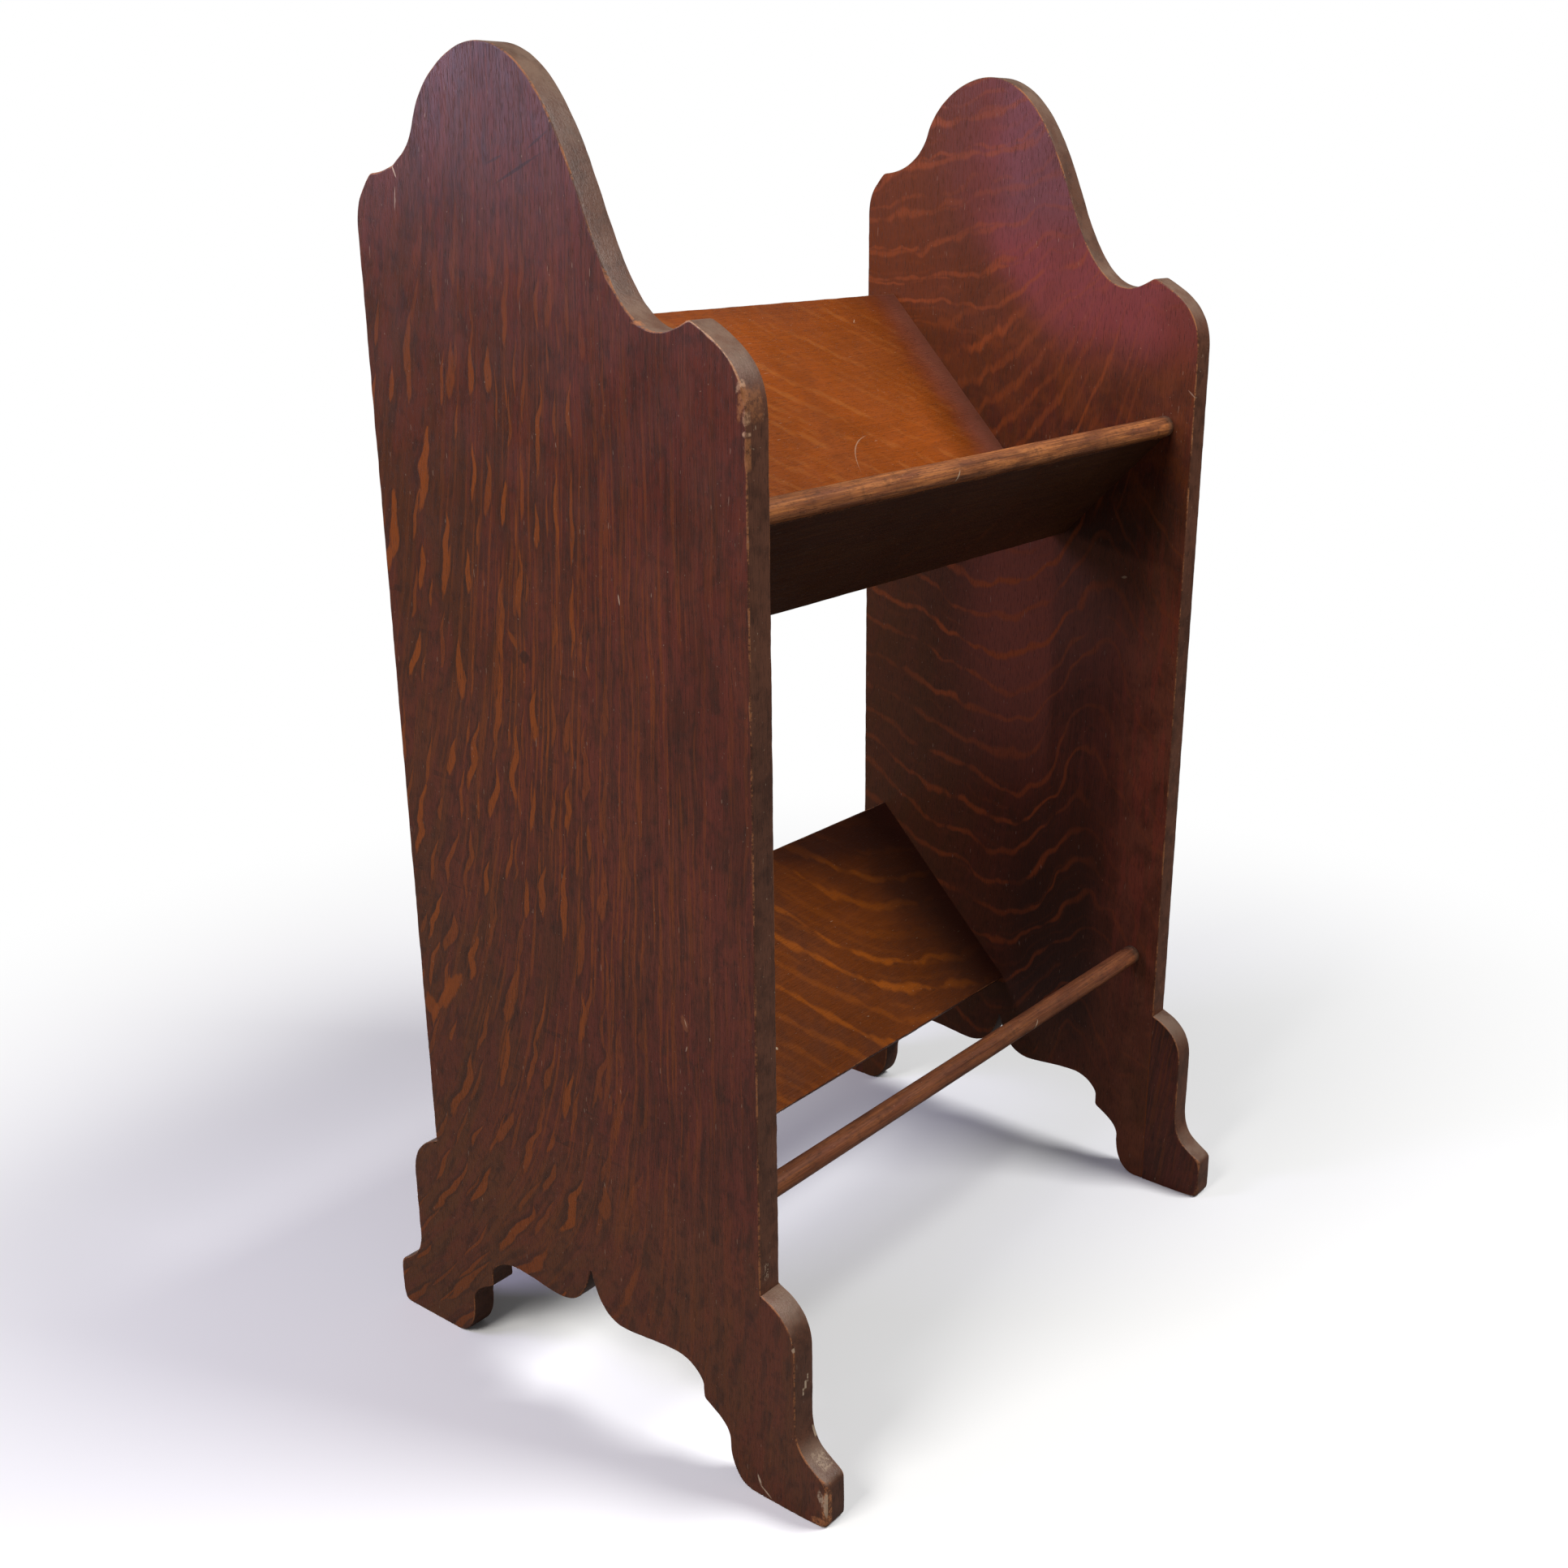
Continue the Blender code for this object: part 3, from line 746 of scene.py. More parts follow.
class Oak:
    """One oak material under construction: its colour so far, and the zone that lay() keeps to."""

    def __init__(self, name):
        self.material = bpy.data.materials.new(name)
        self.material.use_nodes = True
        tree = self.material.node_tree
        self.shader = tree.nodes["Principled BSDF"]
        self.weave = Weaver(tree)
        self.grain = self.weave.attribute("grain", "Vector")
        self.arris = self.weave.attribute("arris")
        self.face = self.weave.attribute("face")
        self.along, self.across, self.depth = self.weave.parts(self.grain)
        self.zone = self.face
        self.colour = None

    def wander(self, amount):
        """Let the grain wind a little, so that no streak runs dead straight."""
        place = self.weave.vector(self.along / 0.09, self.across / 0.05, self.depth)
        return self.weave.vector(self.along, self.across + self.weave.waver(place, amount), self.depth)

    def shifted(self, grain, shift):
        """The grain moved by a vector, so that two pieces with one pattern differ."""
        return self.weave.value("ShaderNodeVectorMath", {0: grain, 1: shift})

    def group(self, name, **inputs):
        """The outputs of a placed group, on the piece's own grain unless another is given."""
        inputs.setdefault("Grain", self.grain)
        return self.weave.values("ShaderNodeGroup", inputs, node_tree=shared_group("Oak " + name))

    def streaks(self, length, width, low, high, detail=2.0, grain=None):
        """Streaks of a length and a width along the grain, cut between two levels of their noise."""
        return self.group(
            "streaks", Grain=grain or self.grain, Length=length, Width=width, Detail=detail, Low=low, High=high
        )[0]

    def rays(self, **inputs):
        return self.group("rays", **inputs)[0]

    def blotches(self, scale, low, high, from_value=0.0, to_value=1.0, detail=4.0, roughness=0.6):
        """Blotches about 1 / scale metres wide, cut between two levels of their noise."""
        return self.weave.noise(self.grain, detail, roughness, scale).ramp(low, high, from_value, to_value)

    def mark(self, colour, strength, along, across, length, width, lean=0.0, bow=0.0, at=(0.0, 0.05), torn=None):
        """Sizes are in metres, lean in degrees from the grain. The mark lies at[0] deep in the board and
        reaches at[1] to either side of that. Torn is a mask that breaks it up.
        """
        mask = self.group(
            "mark", Along=along, Across=across, Depth=at[0], Length=length, Width=width, Deep=at[1],
            Lean=math.radians(lean), Bow=bow,
        )[0]
        return mask if torn is None else mask * torn, colour, strength

    def tint(self, mask, colour, strength):
        """Lay a colour over the ground where a mask is."""
        self.colour = self.weave.mix(mask * strength, self.colour, colour)

    def lay(self, mask, colour, strength):
        """Tint within the zone: the broad faces, or a part of them."""
        self.tint(mask * self.zone, colour, strength)

    def ground(self, base, deep, edge, grain=None, contrast=1.0):
        """The stained ground: growth streaks on the faces, a duller brown on the edges, slow blotches."""
        rings = self.streaks(0.16, 0.0042, 0.38, 0.62, 3.0, grain)
        lines = self.streaks(0.035, 0.0010, 0.38, 0.64, 3.0, grain)
        wood = self.weave.mix((rings + lines) * (0.40 * contrast), base, deep)
        hair = self.streaks(0.045, 0.0009, 0.50, 0.70, 2.0, grain)
        wood = self.weave.mix(hair * (0.30 * contrast), wood, scaled(base, 1.9))
        grime = self.blotches(70.0, 0.42, 0.66, roughness=0.65)
        sawn = self.weave.mix(grime * 0.65, edge, scaled(edge, 0.45))
        slow = self.blotches(7.0, 0.3, 0.7, 0.84, 1.16, 2.0, 0.5)
        wood = self.weave.mix(self.face, sawn, wood)
        self.colour = self.weave.mix(1.0, wood, self.weave.vector(slow, slow, slow), "MULTIPLY")

    def finish(self, finish, marks=(), roughness=0.33, sheen=0.30, pores=1.0, wear=0.5):
        """Pores, specks, rubbed arrises, marks, and the sheen of an old thin polish over all of it."""
        off_face = 1.0 - self.face
        pore = self.streaks(0.0065, 0.00042, 0.58, 0.70, 1.0)
        self.tint(pore, finish.pore, 0.50 * pores)
        self.tint(self.blotches(520.0, 0.765, 0.80, detail=1.0, roughness=0.5), finish.pale, 0.30)
        self.tint(self.streaks(0.0065, 0.0009, 0.865, 0.89, 0.0), finish.pale, 0.30)
        film = self.blotches(55.0, 0.36, 0.60, 0.40, roughness=0.65)
        self.tint(self.weave.attribute("upward").ramp(0.20, 0.85) * film * off_face, finish.dust, 0.62)
        worn = self.group("arris wear", Arris=self.arris, Amount=wear)[0]
        torn = self.blotches(240.0, 0.62, 0.76, detail=3.0, roughness=0.7)
        bare = self.weave.mix(torn, scaled(finish.bare, 0.85), finish.pale)
        self.colour = self.weave.mix(worn * 0.70, self.colour, bare)
        for mark in marks:
            self.tint(*mark)
        rough = self.blotches(28.0, 0.3, 0.7, roughness - 0.05, roughness + 0.07, 3.0)
        height = pore * -0.5 + self.streaks(0.05, 0.0012, 0.2, 0.8) * 0.5
        bump = self.weave.value("ShaderNodeBump", {"Strength": 0.50, "Distance": 0.0004, "Height": height})
        for name, value in (
            ("Base Color", self.colour),
            ("Roughness", rough + worn * 0.20 + off_face * 0.14),
            ("Normal", bump),
            ("Specular IOR Level", sheen),
        ):
            self.weave.fill(self.shader.inputs[name], value)
        return self.material


def leaning_grain(oak):
    """Grain of a panel's outer face: straight at the front, leaning to the back foot lower down.

    The place across the board moves by w (0.22 z - 0.16 exp(-z / 0.16)), where w grows from the
    front half to the back half.
    """
    weave = oak.weave
    weight = oak.across.ramp(-0.13, 0.11, 0.05, 1.0)
    lean = oak.along * 0.22 - (oak.along * (-1 / 0.16)).exp() * 0.16
    slow = weave.waver(weave.vector(oak.along / 0.10, oak.across / 0.06), 0.013)
    return weave.vector(oak.along, oak.across + weight * lean + slow, oak.depth)


def panel_ground(oak, finish, grain):
    """Stain of the end panels: redder at the front and up high, browner at the back foot, with old dirt."""
    oak.ground(finish.stain, finish.stain_deep, finish.edge, grain)
    back, low = oak.across.ramp(-0.10, 0.16, 0.15, 1.0), oak.along.ramp(0.75, 0.25, 0.35, 1.0)
    oak.lay(back * low, finish.brown, 0.75)
    foot = oak.along.ramp(0.26, 0.12)
    oak.lay(foot, scaled(finish.brown, 1.45), 0.50)
    upper = oak.along.window(0.46, 0.58, 0.74, 0.82) * oak.across.ramp(-0.06, 0.10)
    oak.lay(upper, scaled(finish.brown, 0.70), 0.58)
    patch = oak.streaks(0.060, 0.020, 0.42, 0.62, 3.0, grain)
    oak.lay(patch, finish.red, 0.32)
    dirt = oak.blotches(95.0, 0.48, 0.66, detail=5.0, roughness=0.62)
    oak.lay(dirt, finish.gloom, 0.38)


def fleck_pattern(oak, finish, grain):
    """Flecks of a panel's outer face: broad and bold at the back, thin long streaks at the front."""
    large, large_rim = oak.group(
        "flecks", Grain=grain, Length=0.064, Width=0.0255, Wind=0.020, Long=0.42, Wide=0.170, Kept=0.76
    )
    apart = oak.shifted(grain, (0.372, 0.2113, 0.0))
    small, small_rim = oak.group(
        "flecks", Grain=apart, Length=0.046, Width=0.0175, Wind=0.014, Long=0.40, Wide=0.150, Kept=0.48
    )
    bold_zone = oak.across.ramp(-0.095, 0.015) * oak.along.ramp(0.83, 0.70, 0.10, 1.0)
    murk = oak.streaks(0.026, 0.0080, 0.53, 0.63, 4.0, grain)
    shade = (large_rim.larger(small_rim * 0.8) * bold_zone).larger(murk * 0.8)
    oak.lay(shade, finish.gloom, 0.50)
    thin = oak.streaks(0.100, 0.0036, 0.51, 0.65, 4.0, grain)
    middle = oak.across.ramp(-0.155, -0.07, 0.40, 1.0) * oak.across.ramp(0.15, 0.02, 0.30, 1.0)
    height = oak.along.ramp(0.10, 0.30, 0.45, 1.0) * oak.along.ramp(0.80, 0.55, 0.30, 1.0)
    oak.lay(thin * middle * height, finish.ray, 0.50)
    oak.lay(large.larger(small * 0.75) * bold_zone, finish.ray, 0.85)


def flame_grain(oak):
    """Ray lines of a panel's inner face, as a warped place along the grain.

    The place is z - w h(y) plus a slow noise, with h(y) = 0.34 s(y - 0.02) + 0.085 exp(-((y + 0.085) / 0.045)^2)
    and s(t) = (t + sqrt(t^2 + 0.03^2)) / 2: the lines hang low a little behind the middle, rise to the back
    edge, and peak near the front edge. The weight w falls off in the crest, where they sink a little to the back.
    """
    weave = oak.weave
    beside = oak.across - 0.020
    back = (beside + weave.math("SQRT", beside * beside + 0.0009)) * 0.17
    front = (oak.across + 0.085) / 0.045
    front = (front * front * -1.0).exp() * 0.085
    weight = oak.along.ramp(0.84, 0.58, 0.22, 1.0)
    unrest = oak.across.ramp(0.02, -0.10, 0.040, 0.115)
    slow = weave.waver(weave.vector(oak.across / 0.060, oak.along / 0.090, oak.depth), unrest, 2, 0.45)
    sink = oak.across * oak.along.ramp(0.68, 0.78, 0.0, 0.32)
    return weave.vector(oak.along - (back + front) * weight + slow + sink, oak.across, oak.depth)


def flame_rays(oak, shift, opening):
    """Wavy rays of a panel's inner face: thin bright lines far apart, with fainter ones between.

    The opening is the height of the trough. In all but its back third, broader rays take over that climb
    steeply to the front edge, with the place z - 0.0675 exp(-y / 0.075).
    """
    weave = oak.weave
    grain = oak.shifted(flame_grain(oak), shift)
    bold = oak.rays(Grain=grain, Spacing=0.030, Waver=0.60, Run=0.028, Thin=0.125, Breaks=0.40, Weakest=0.40)
    faint = oak.rays(Grain=grain, Spacing=0.0125, Waver=1.0, Run=0.020, Thin=0.17, Breaks=0.47, Weakest=0.1)
    close = oak.along.ramp(0.56, 0.66, 0.18, 0.80) * (1.0 - opening * 0.65)
    climb = (oak.across / -0.075).exp() * 0.0675
    steep = weave.vector(oak.along - climb, oak.across, oak.depth)
    broad = oak.rays(Grain=steep, Spacing=0.027, Waver=0.85, Run=0.013, Thin=0.21, Breaks=0.43, Weakest=0.30)
    swept = oak.across.ramp(0.12, 0.06) * opening
    broad = broad * swept * oak.across.ramp(-0.125, -0.075, 0.15, 1.0)
    return (bold.larger(faint * close) * (1.0 - swept * 0.85)).larger(broad)


def inner_stain_and_light(oak, finish, opening, patchy):
    """Stain of a panel's inner face, from the floor to the crest.

    Below the trough it has painted shade low down at the front, a browner tint at the back that stands in for
    the light there, and a strip of painted light up its middle. In front of the strip lies a painted reflection,
    with a painted shadow wedge over it; the line between them rises to the back, and lift is the height over
    that line. The front edge has painted light, mottled and streaked. Inside the trough it is clouded. The crest
    is warmer, with painted pink light over its front half and a painted bluish sheen at its very top.
    """
    along, across = oak.along, oak.across
    # Painted shade: dark low down at the front, where little light reaches
    low_front_shade = along.window(0.08, 0.16, 0.24, 0.38) * across.window(-0.12, -0.08, -0.03, 0.02)
    oak.lay(low_front_shade, finish.gloom, 0.95)
    below = along.ramp(0.64, 0.58)
    # Painted light: browner at the back below the trough, a tint that stands in for the light there
    oak.lay(below * across.ramp(-0.02, 0.10, 0.4, 1.0), finish.brown, 0.55)
    # Painted light: a lighter strip up the middle, below the trough
    strip = along.ramp(0.30, 0.48) * across.window(-0.046, -0.034, 0.010, 0.080)
    oak.lay(strip * below, finish.painted_light_strip, 0.68)
    lift = along - across * 0.152
    # Painted reflection in front of the strip, up to a sharp line that rises to the back
    reflection_mist = along.ramp(0.42, 0.50) * lift.ramp(0.581, 0.571) * across.window(-0.155, -0.135, -0.046, -0.034)
    oak.lay(reflection_mist, finish.painted_reflection, 0.12)
    # Painted shadow: a dark wedge over the painted reflection, under the trough
    shadow_wedge = lift.window(0.571, 0.581, 0.62, 0.66) * across.window(-0.158, -0.140, -0.05, -0.02)
    oak.lay(shadow_wedge, finish.gloom, 0.55)
    # Painted light down the front edge, mottled and streaked; the rubbed mask here marks this light, not wear
    rubbed = across.ramp(-0.08, -0.14) * along.ramp(0.64, 0.50) * along.ramp(0.10, 0.50, 0.55, 1.0)
    oak.lay(rubbed * oak.blotches(30.0, 0.36, 0.62, 0.25, roughness=0.62), finish.lit_edge_mottling, 0.75)
    strokes = oak.streaks(0.050, 0.0075, 0.50, 0.60, 3.0)
    oak.lay(strokes * rubbed * along.ramp(0.12, 0.22), finish.stroke, 0.42)
    oak.lay(oak.blotches(42.0, 0.42, 0.62) * opening, finish.cloud, 0.40)
    oak.lay(oak.blotches(33.0, 0.52, 0.64) * opening, finish.gloom, 0.32)
    oak.lay(along.ramp(0.60, 0.78) * across.ramp(0.04, 0.13, 0.60, 0.95), finish.crest, 1.0)
    # Painted light: pink over the front half of the crest, above a line that rises to the back
    rise = ((across + 0.04) * 0.9).larger(0.0)
    painted_rose_light = (along - rise).ramp(0.692, 0.738) * across.ramp(0.105, 0.01)
    oak.lay(painted_rose_light * patchy, finish.painted_rose_light, 0.70)
    # Painted sheen: bluish at the very top of the crest's front half
    oak.lay(along.ramp(0.78, 0.83) * across.ramp(0.045, 0.005), finish.painted_blue_sheen, 0.25)


def flame_pattern(oak, finish, shift):
    """Stain and rays of a panel's inner face. The shift tells the rays of one panel from the other's.

    The rays glow most round the middle, and in the crest towards the back.
    """
    along, across = oak.along, oak.across
    opening = along.window(0.57, 0.62, 0.70, 0.78)
    patchy = oak.blotches(11.0, 0.36, 0.58, 0.55, 1.0, 2.0, 0.5)
    inner_stain_and_light(oak, finish, opening, patchy)
    low_glow = across.ramp(-0.10, -0.03) * across.ramp(0.15, 0.04, 0.25, 1.0)
    high_glow = across.ramp(-0.06, 0.05, 0.35, 1.0)
    high = along.ramp(0.60, 0.68)
    glow = (low_glow * (1.0 - high) + high_glow * high).larger(opening * 0.85)
    glow = (glow * 0.70 + 0.30) * patchy * along.ramp(0.25, 0.55, 0.74, 1.0)
    oak.lay(flame_rays(oak, shift, opening) * glow, finish.flame, 0.90)


def panel_oak(name, finish, outward, marks, sheen, outer_shift, inner_shift):
    """Dark oak of an end panel: flecks on its outer face and wavy rays on its inner face."""
    oak = Oak(name)
    grain = oak.shifted(leaning_grain(oak), outer_shift)
    panel_ground(oak, finish, grain)
    plain = oak.colour
    fleck_pattern(oak, finish, grain)
    outer = (oak.depth * float(outward)).ramp(0.004, 0.005)
    oak.colour = oak.weave.mix(outer, plain, oak.colour)
    oak.zone = oak.face * (1.0 - outer)
    flame_pattern(oak, finish, inner_shift)
    return oak.finish(finish, marks(oak, finish), sheen=sheen, wear=0.55)


def near_panel_marks(oak, finish):
    """Single marks of the near panel: its largest fleck, a small knot, dark scratches and pale nicks."""
    ray, dark, pale, bare = finish.ray, finish.gloom, finish.pale, finish.bare
    raw = scaled(bare, 0.70)
    light = tuple((b + p) / 2 for b, p in zip(bare, pale))
    splinter = oak.blotches(330.0, 0.40, 0.56, 0.25, roughness=0.7)
    fibre = oak.blotches(700.0, 0.50, 0.62, detail=2.0, roughness=0.7)
    worn_line = oak.arris.ramp(0.40, 0.85) * splinter
    on_face = partial(oak.mark, at=SEEN_FACE)
    splintered = partial(on_face, torn=splinter)
    on_rim = partial(oak.mark, at=(-0.0095, 0.0045))
    splintered_rim = partial(on_rim, torn=splinter)
    return [
        on_face(ray, 0.75, 0.296, 0.128, 0.046, 0.014, -35, 0.5),
        on_face(ray, 0.70, 0.276, 0.151, 0.016, 0.022, -70),
        on_face(dark, 0.75, 0.556, 0.030, 0.010, 0.012),
        on_face(ray, 0.55, 0.566, 0.040, 0.016, 0.005, 35),
        on_face(dark, 0.8, 0.846, 0.012, 0.0022, 0.052, 24),
        on_face(dark, 0.7, 0.862, -0.006, 0.0018, 0.026, 30),
        on_face(dark, 0.7, 0.851, 0.030, 0.0018, 0.018, 20),
        on_face(pale, 0.8, 0.842, 0.120, 0.010, 0.0014, 25),
        on_face(pale, 0.5, 0.826, 0.121, 0.016, 0.0010, -8),
        splintered(pale, 0.85, 0.0125, -0.1560, 0.012, 0.0024, 20),
        splintered(pale, 0.85, 0.0052, -0.1622, 0.013, 0.0024, 55),
        oak.mark(pale, 0.50, 0.177, -0.1590, 0.014, 0.0060, at=(-0.003, 0.0022), torn=fibre),
        on_face(pale, 0.6, 0.607, -0.056, 0.008, 0.0012, 8),
        on_face(pale, 0.5, 0.340, -0.100, 0.007, 0.0012, 20),
        on_face(pale, 0.5, 0.322, -0.100, 0.005, 0.0012, -20),
        oak.mark(raw, 0.55, 0.734, -0.1600, 0.030, 0.0120, -8, at=(-0.0025, 0.0085), torn=splinter),
        splintered_rim(raw, 0.85, 0.736, -0.1565, 0.034, 0.0075, -12),
        splintered_rim(light, 0.60, 0.742, -0.1550, 0.014, 0.0045, -30),
        splintered_rim(light, 0.50, 0.724, -0.1580, 0.010, 0.0045),
        splintered_rim(light, 0.85, 0.715, -0.1580, 0.004, 0.0040),
        on_rim(light, 0.75, 0.760, -0.137, 0.070, 0.034, 54, torn=worn_line),
        splintered_rim(raw, 0.80, 0.704, -0.1585, 0.024, 0.0030),
        splintered_rim(bare, 0.60, 0.768, -0.0800, 0.003, 0.0140),
        on_face(bare, 0.22, 0.340, -0.0990, 0.014, 0.0070, 20),
    ]


def far_panel_marks(oak, finish):
    """Single marks of the far panel: a dent under the trough, a scratch at the shoulder and the front seam."""
    mark = partial(oak.mark, at=SEEN_FACE)
    return [
        mark(finish.pale, 0.55, 0.540, -0.106, 0.0026, 0.0060, 10),
        mark(finish.pale, 0.4, 0.690, -0.156, 0.010, 0.0012, 50),
        mark(finish.ray, 0.6, 0.070, -0.159, 0.200, 0.0024),
    ]


def ear_oak(name, finish, marks):
    """Dark oak of a foot ear, like the panel that it is glued to."""
    oak = Oak(name)
    grain = leaning_grain(oak)
    panel_ground(oak, finish, grain)
    fleck_pattern(oak, finish, grain)
    return oak.finish(finish, marks(oak, finish), wear=0.60)


def near_front_ear_marks(oak, finish):
    """Pale scratches down the edge of the near front foot, and its toe rubbed to bare wood."""
    bare, pale = finish.bare, finish.pale
    on_face = partial(oak.mark, at=(-0.0095, 0.0016))
    fibre = oak.blotches(500.0, 0.42, 0.58, 0.15, detail=3.0, roughness=0.7)
    return [
        oak.mark(bare, 0.95, 0.0165, -0.2135, 0.040, 0.0070, at=(-0.0075, 0.0042), torn=fibre),
        oak.mark(bare, 0.80, 0.004, -0.2080, 0.010, 0.0180, at=(-0.0080, 0.0040), torn=fibre),
        on_face(pale, 0.60, 0.025, -0.2095, 0.015, 0.0060, 12, torn=fibre),
        oak.mark(pale, 0.70, 0.021, -0.2140, 0.022, 0.0050, at=(-0.0088, 0.0009)),
        oak.mark(pale, 0.75, 0.1030, -0.1875, 0.0070, 0.0060, at=(0.0040, 0.0008), torn=fibre),
        oak.mark(pale, 0.80, 0.0985, -0.1875, 0.0070, 0.0060, at=(0.0018, 0.0011)),
        oak.mark(pale, 0.80, 0.0940, -0.1875, 0.0060, 0.0060, at=(-0.0004, 0.0010), torn=fibre),
        oak.mark(pale, 0.60, 0.0593, -0.1900, 0.012, 0.0070, at=(0.0078, 0.0011)),
        oak.mark(pale, 0.35, 0.048, -0.2020, 0.022, 0.0120, 30, at=(0.0020, 0.0060), torn=fibre),
        on_face(pale, 0.60, 0.131, -0.1865, 0.004, 0.0030),
        on_face(pale, 0.75, 0.0052, -0.1622, 0.012, 0.0016, 55),
    ]


def far_front_ear_marks(oak, finish):
    """Bare toe and dark seam of the far front foot."""
    return [
        oak.mark(finish.bare, 0.8, 0.024, -0.213, 0.030, 0.0040, at=(-0.0085, 0.003)),
        oak.mark(finish.pale, 0.7, 0.045, -0.205, 0.005, 0.0050, at=(-0.009, 0.003)),
        oak.mark(finish.gloom, 0.8, 0.070, -0.1595, 0.200, 0.0014, at=SEEN_FACE),
    ]


def no_marks(oak, finish):
    """A piece without single marks."""
    return []


def honey_board_oak(name, finish):
    """Upper back board: honey brown, with faint slanting rays, painted purplish light and reflection at its ends,
    with one old scratch.
    """
    oak = Oak(name)
    oak.ground(finish.honey, scaled(finish.honey, 0.68), finish.edge, oak.wander(0.010), 0.55)
    slanting = oak.weave.vector(oak.across + oak.along * 0.72, oak.along, oak.depth)
    rays = oak.rays(Grain=slanting, Spacing=0.0115, Waver=1.3, Run=0.022, Thin=0.34, Breaks=0.50, Weakest=0.0)
    oak.lay(rays, finish.honey_ray, 0.38)
    oak.lay(oak.blotches(22.0, 0.46, 0.66), scaled(finish.honey, 0.62), 0.40)
    cloud = oak.weave.waver(oak.grain, 0.06, 3, 0.6, 14.0)
    # Painted light at the board's ends: purplish at both ends, and a lighter painted reflection at the far end
    red, green, blue = finish.painted_rose_light
    oak.lay((abs(oak.along) + cloud).ramp(0.190, 0.248), (red, green, blue * 1.3), 0.34)
    oak.lay((oak.along + cloud * 0.7).ramp(0.205, 0.262), finish.painted_reflection, 0.62)
    oak.lay((oak.across + cloud).ramp(0.225, 0.258), finish.stain, 0.25)
    oak.tint(oak.depth.ramp(*UNDERSIDE), finish.stain_deep, 0.7)
    marks = [
        oak.mark(finish.pale, 0.36, 0.0732, 0.1138, 0.051, 0.0013, 41, 15.4),
        oak.mark(finish.pale, 0.5, 0.172, 0.228, 0.006, 0.0009, 40),
    ]
    return oak.finish(finish, marks, roughness=0.34, sheen=0.14, pores=0.6, wear=0.6)


def front_board_oak(name, finish):
    """Upper front board: plain dark oak."""
    oak = Oak(name)
    oak.ground(scaled(finish.brown, 0.88), finish.stain_deep, finish.edge, oak.wander(0.008))
    oak.lay(oak.rays(Spacing=0.045, Waver=1.2, Run=0.02, Thin=0.10, Breaks=0.50), finish.ray, 0.20)
    return oak.finish(finish, roughness=0.42, sheen=0.15)


def shelf_oak(name, finish):
    """Lower back board: warm brown, with bold orange rays that sweep down and flatten out to the right.

    The rays follow the place s + g(t), with t = x - 0.4 s and
    g(t) = 0.2 t - 0.0143 ln(1 + exp((0.095 - t) / 0.022)).
    """
    oak = Oak(name)
    weave = oak.weave
    oak.ground(finish.shelf, scaled(finish.shelf, 0.62), finish.shelf_edge, oak.wander(0.008), 0.50)
    t = oak.along - oak.across * 0.4
    bend = weave.math("LOGARITHM", ((0.095 - t) / 0.022).exp() + 1.0, math.e)
    grain = weave.vector(oak.across + (t * 0.2 - bend * 0.0143), oak.along, oak.depth)
    bold = oak.rays(Grain=grain, Spacing=0.026, Waver=1.00, Run=0.038, Thin=0.175, Breaks=0.39, Weakest=0.22)
    faint = oak.rays(Grain=grain, Spacing=0.0125, Waver=0.8, Run=0.030, Thin=0.22, Breaks=0.48, Weakest=0.1)
    oak.lay(oak.blotches(26.0, 0.44, 0.66), finish.shelf_dark, 0.30)
    oak.lay(bold.larger(faint * 0.26), finish.shelf_ray, 0.74)
    cloud = weave.waver(oak.grain, 0.10, 3, 0.6, 12.0)
    # Painted shade: the right end darker, where the far panel shades it
    oak.tint((oak.along + cloud).ramp(0.115, 0.245), finish.shelf_dark, 0.88)
    # Painted shadow along the top of the board's right part; then painted shade at both ends, beside the panels
    corner = (oak.across + oak.along * 0.22).ramp(0.188, 0.208) * oak.along.ramp(0.02, 0.12)
    oak.tint(corner, finish.stain_deep, 0.75)
    oak.tint(abs(oak.along + cloud).ramp(0.205, 0.256), finish.stain, 0.4)
    oak.tint(oak.depth.ramp(*UNDERSIDE), finish.stain_deep, 0.7)
    marks = [oak.mark(finish.pale, 0.7, -0.031, 0.044, 0.003, 0.003)]
    return oak.finish(finish, marks, roughness=0.34, sheen=0.09, pores=0.6)


def rail_oak(name, finish, rub_and_light, nick):
    """Turned rail: open straight grain, paler along its top and front with rubbed wear and painted light, and old
    dirt at its ends and below.
    """
    oak = Oak(name)
    oak.ground(finish.rail, scaled(finish.rail, 0.42), finish.rail)
    fibres = oak.streaks(0.050, 0.0014, 0.38, 0.62, 4.0) * 0.60 + 0.34
    patchy = oak.streaks(0.050, 0.009, 0.36, 0.58, 3.0) * 0.70 + 0.30
    # Rubbed wear and painted light: paler on the top and front of the rail
    oak.tint(oak.arris * fibres * patchy, finish.rail_rubbed_and_lit, rub_and_light)
    from_middle = abs(oak.along)
    dirt = oak.blotches(120.0, 0.50, 0.66, roughness=0.7)
    oak.tint(dirt * from_middle.ramp(0.205, 0.250, 0.42, 0.85), finish.gloom, 0.75)
    oak.tint(from_middle.ramp(0.236, 0.246), finish.dust, 0.55)
    marks = [oak.mark(finish.pale, 0.7, nick, 0.0270, 0.0016, 0.0110, 25)]
    oak.arris = 0.0
    return oak.finish(finish, marks, roughness=0.36, sheen=0.13)


# Operators


def settings():
    """The scene's sizes, finish and stage."""
    scene = bpy.context.scene
    return scene.trough_sizes, scene.trough_finish, scene.trough_stage


def dress(piece, material, node):
    """Give a finished piece its material and its body, and hide the node that it stands for."""
    piece.data.materials.append(material)
    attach(piece, "root")
    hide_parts(node)


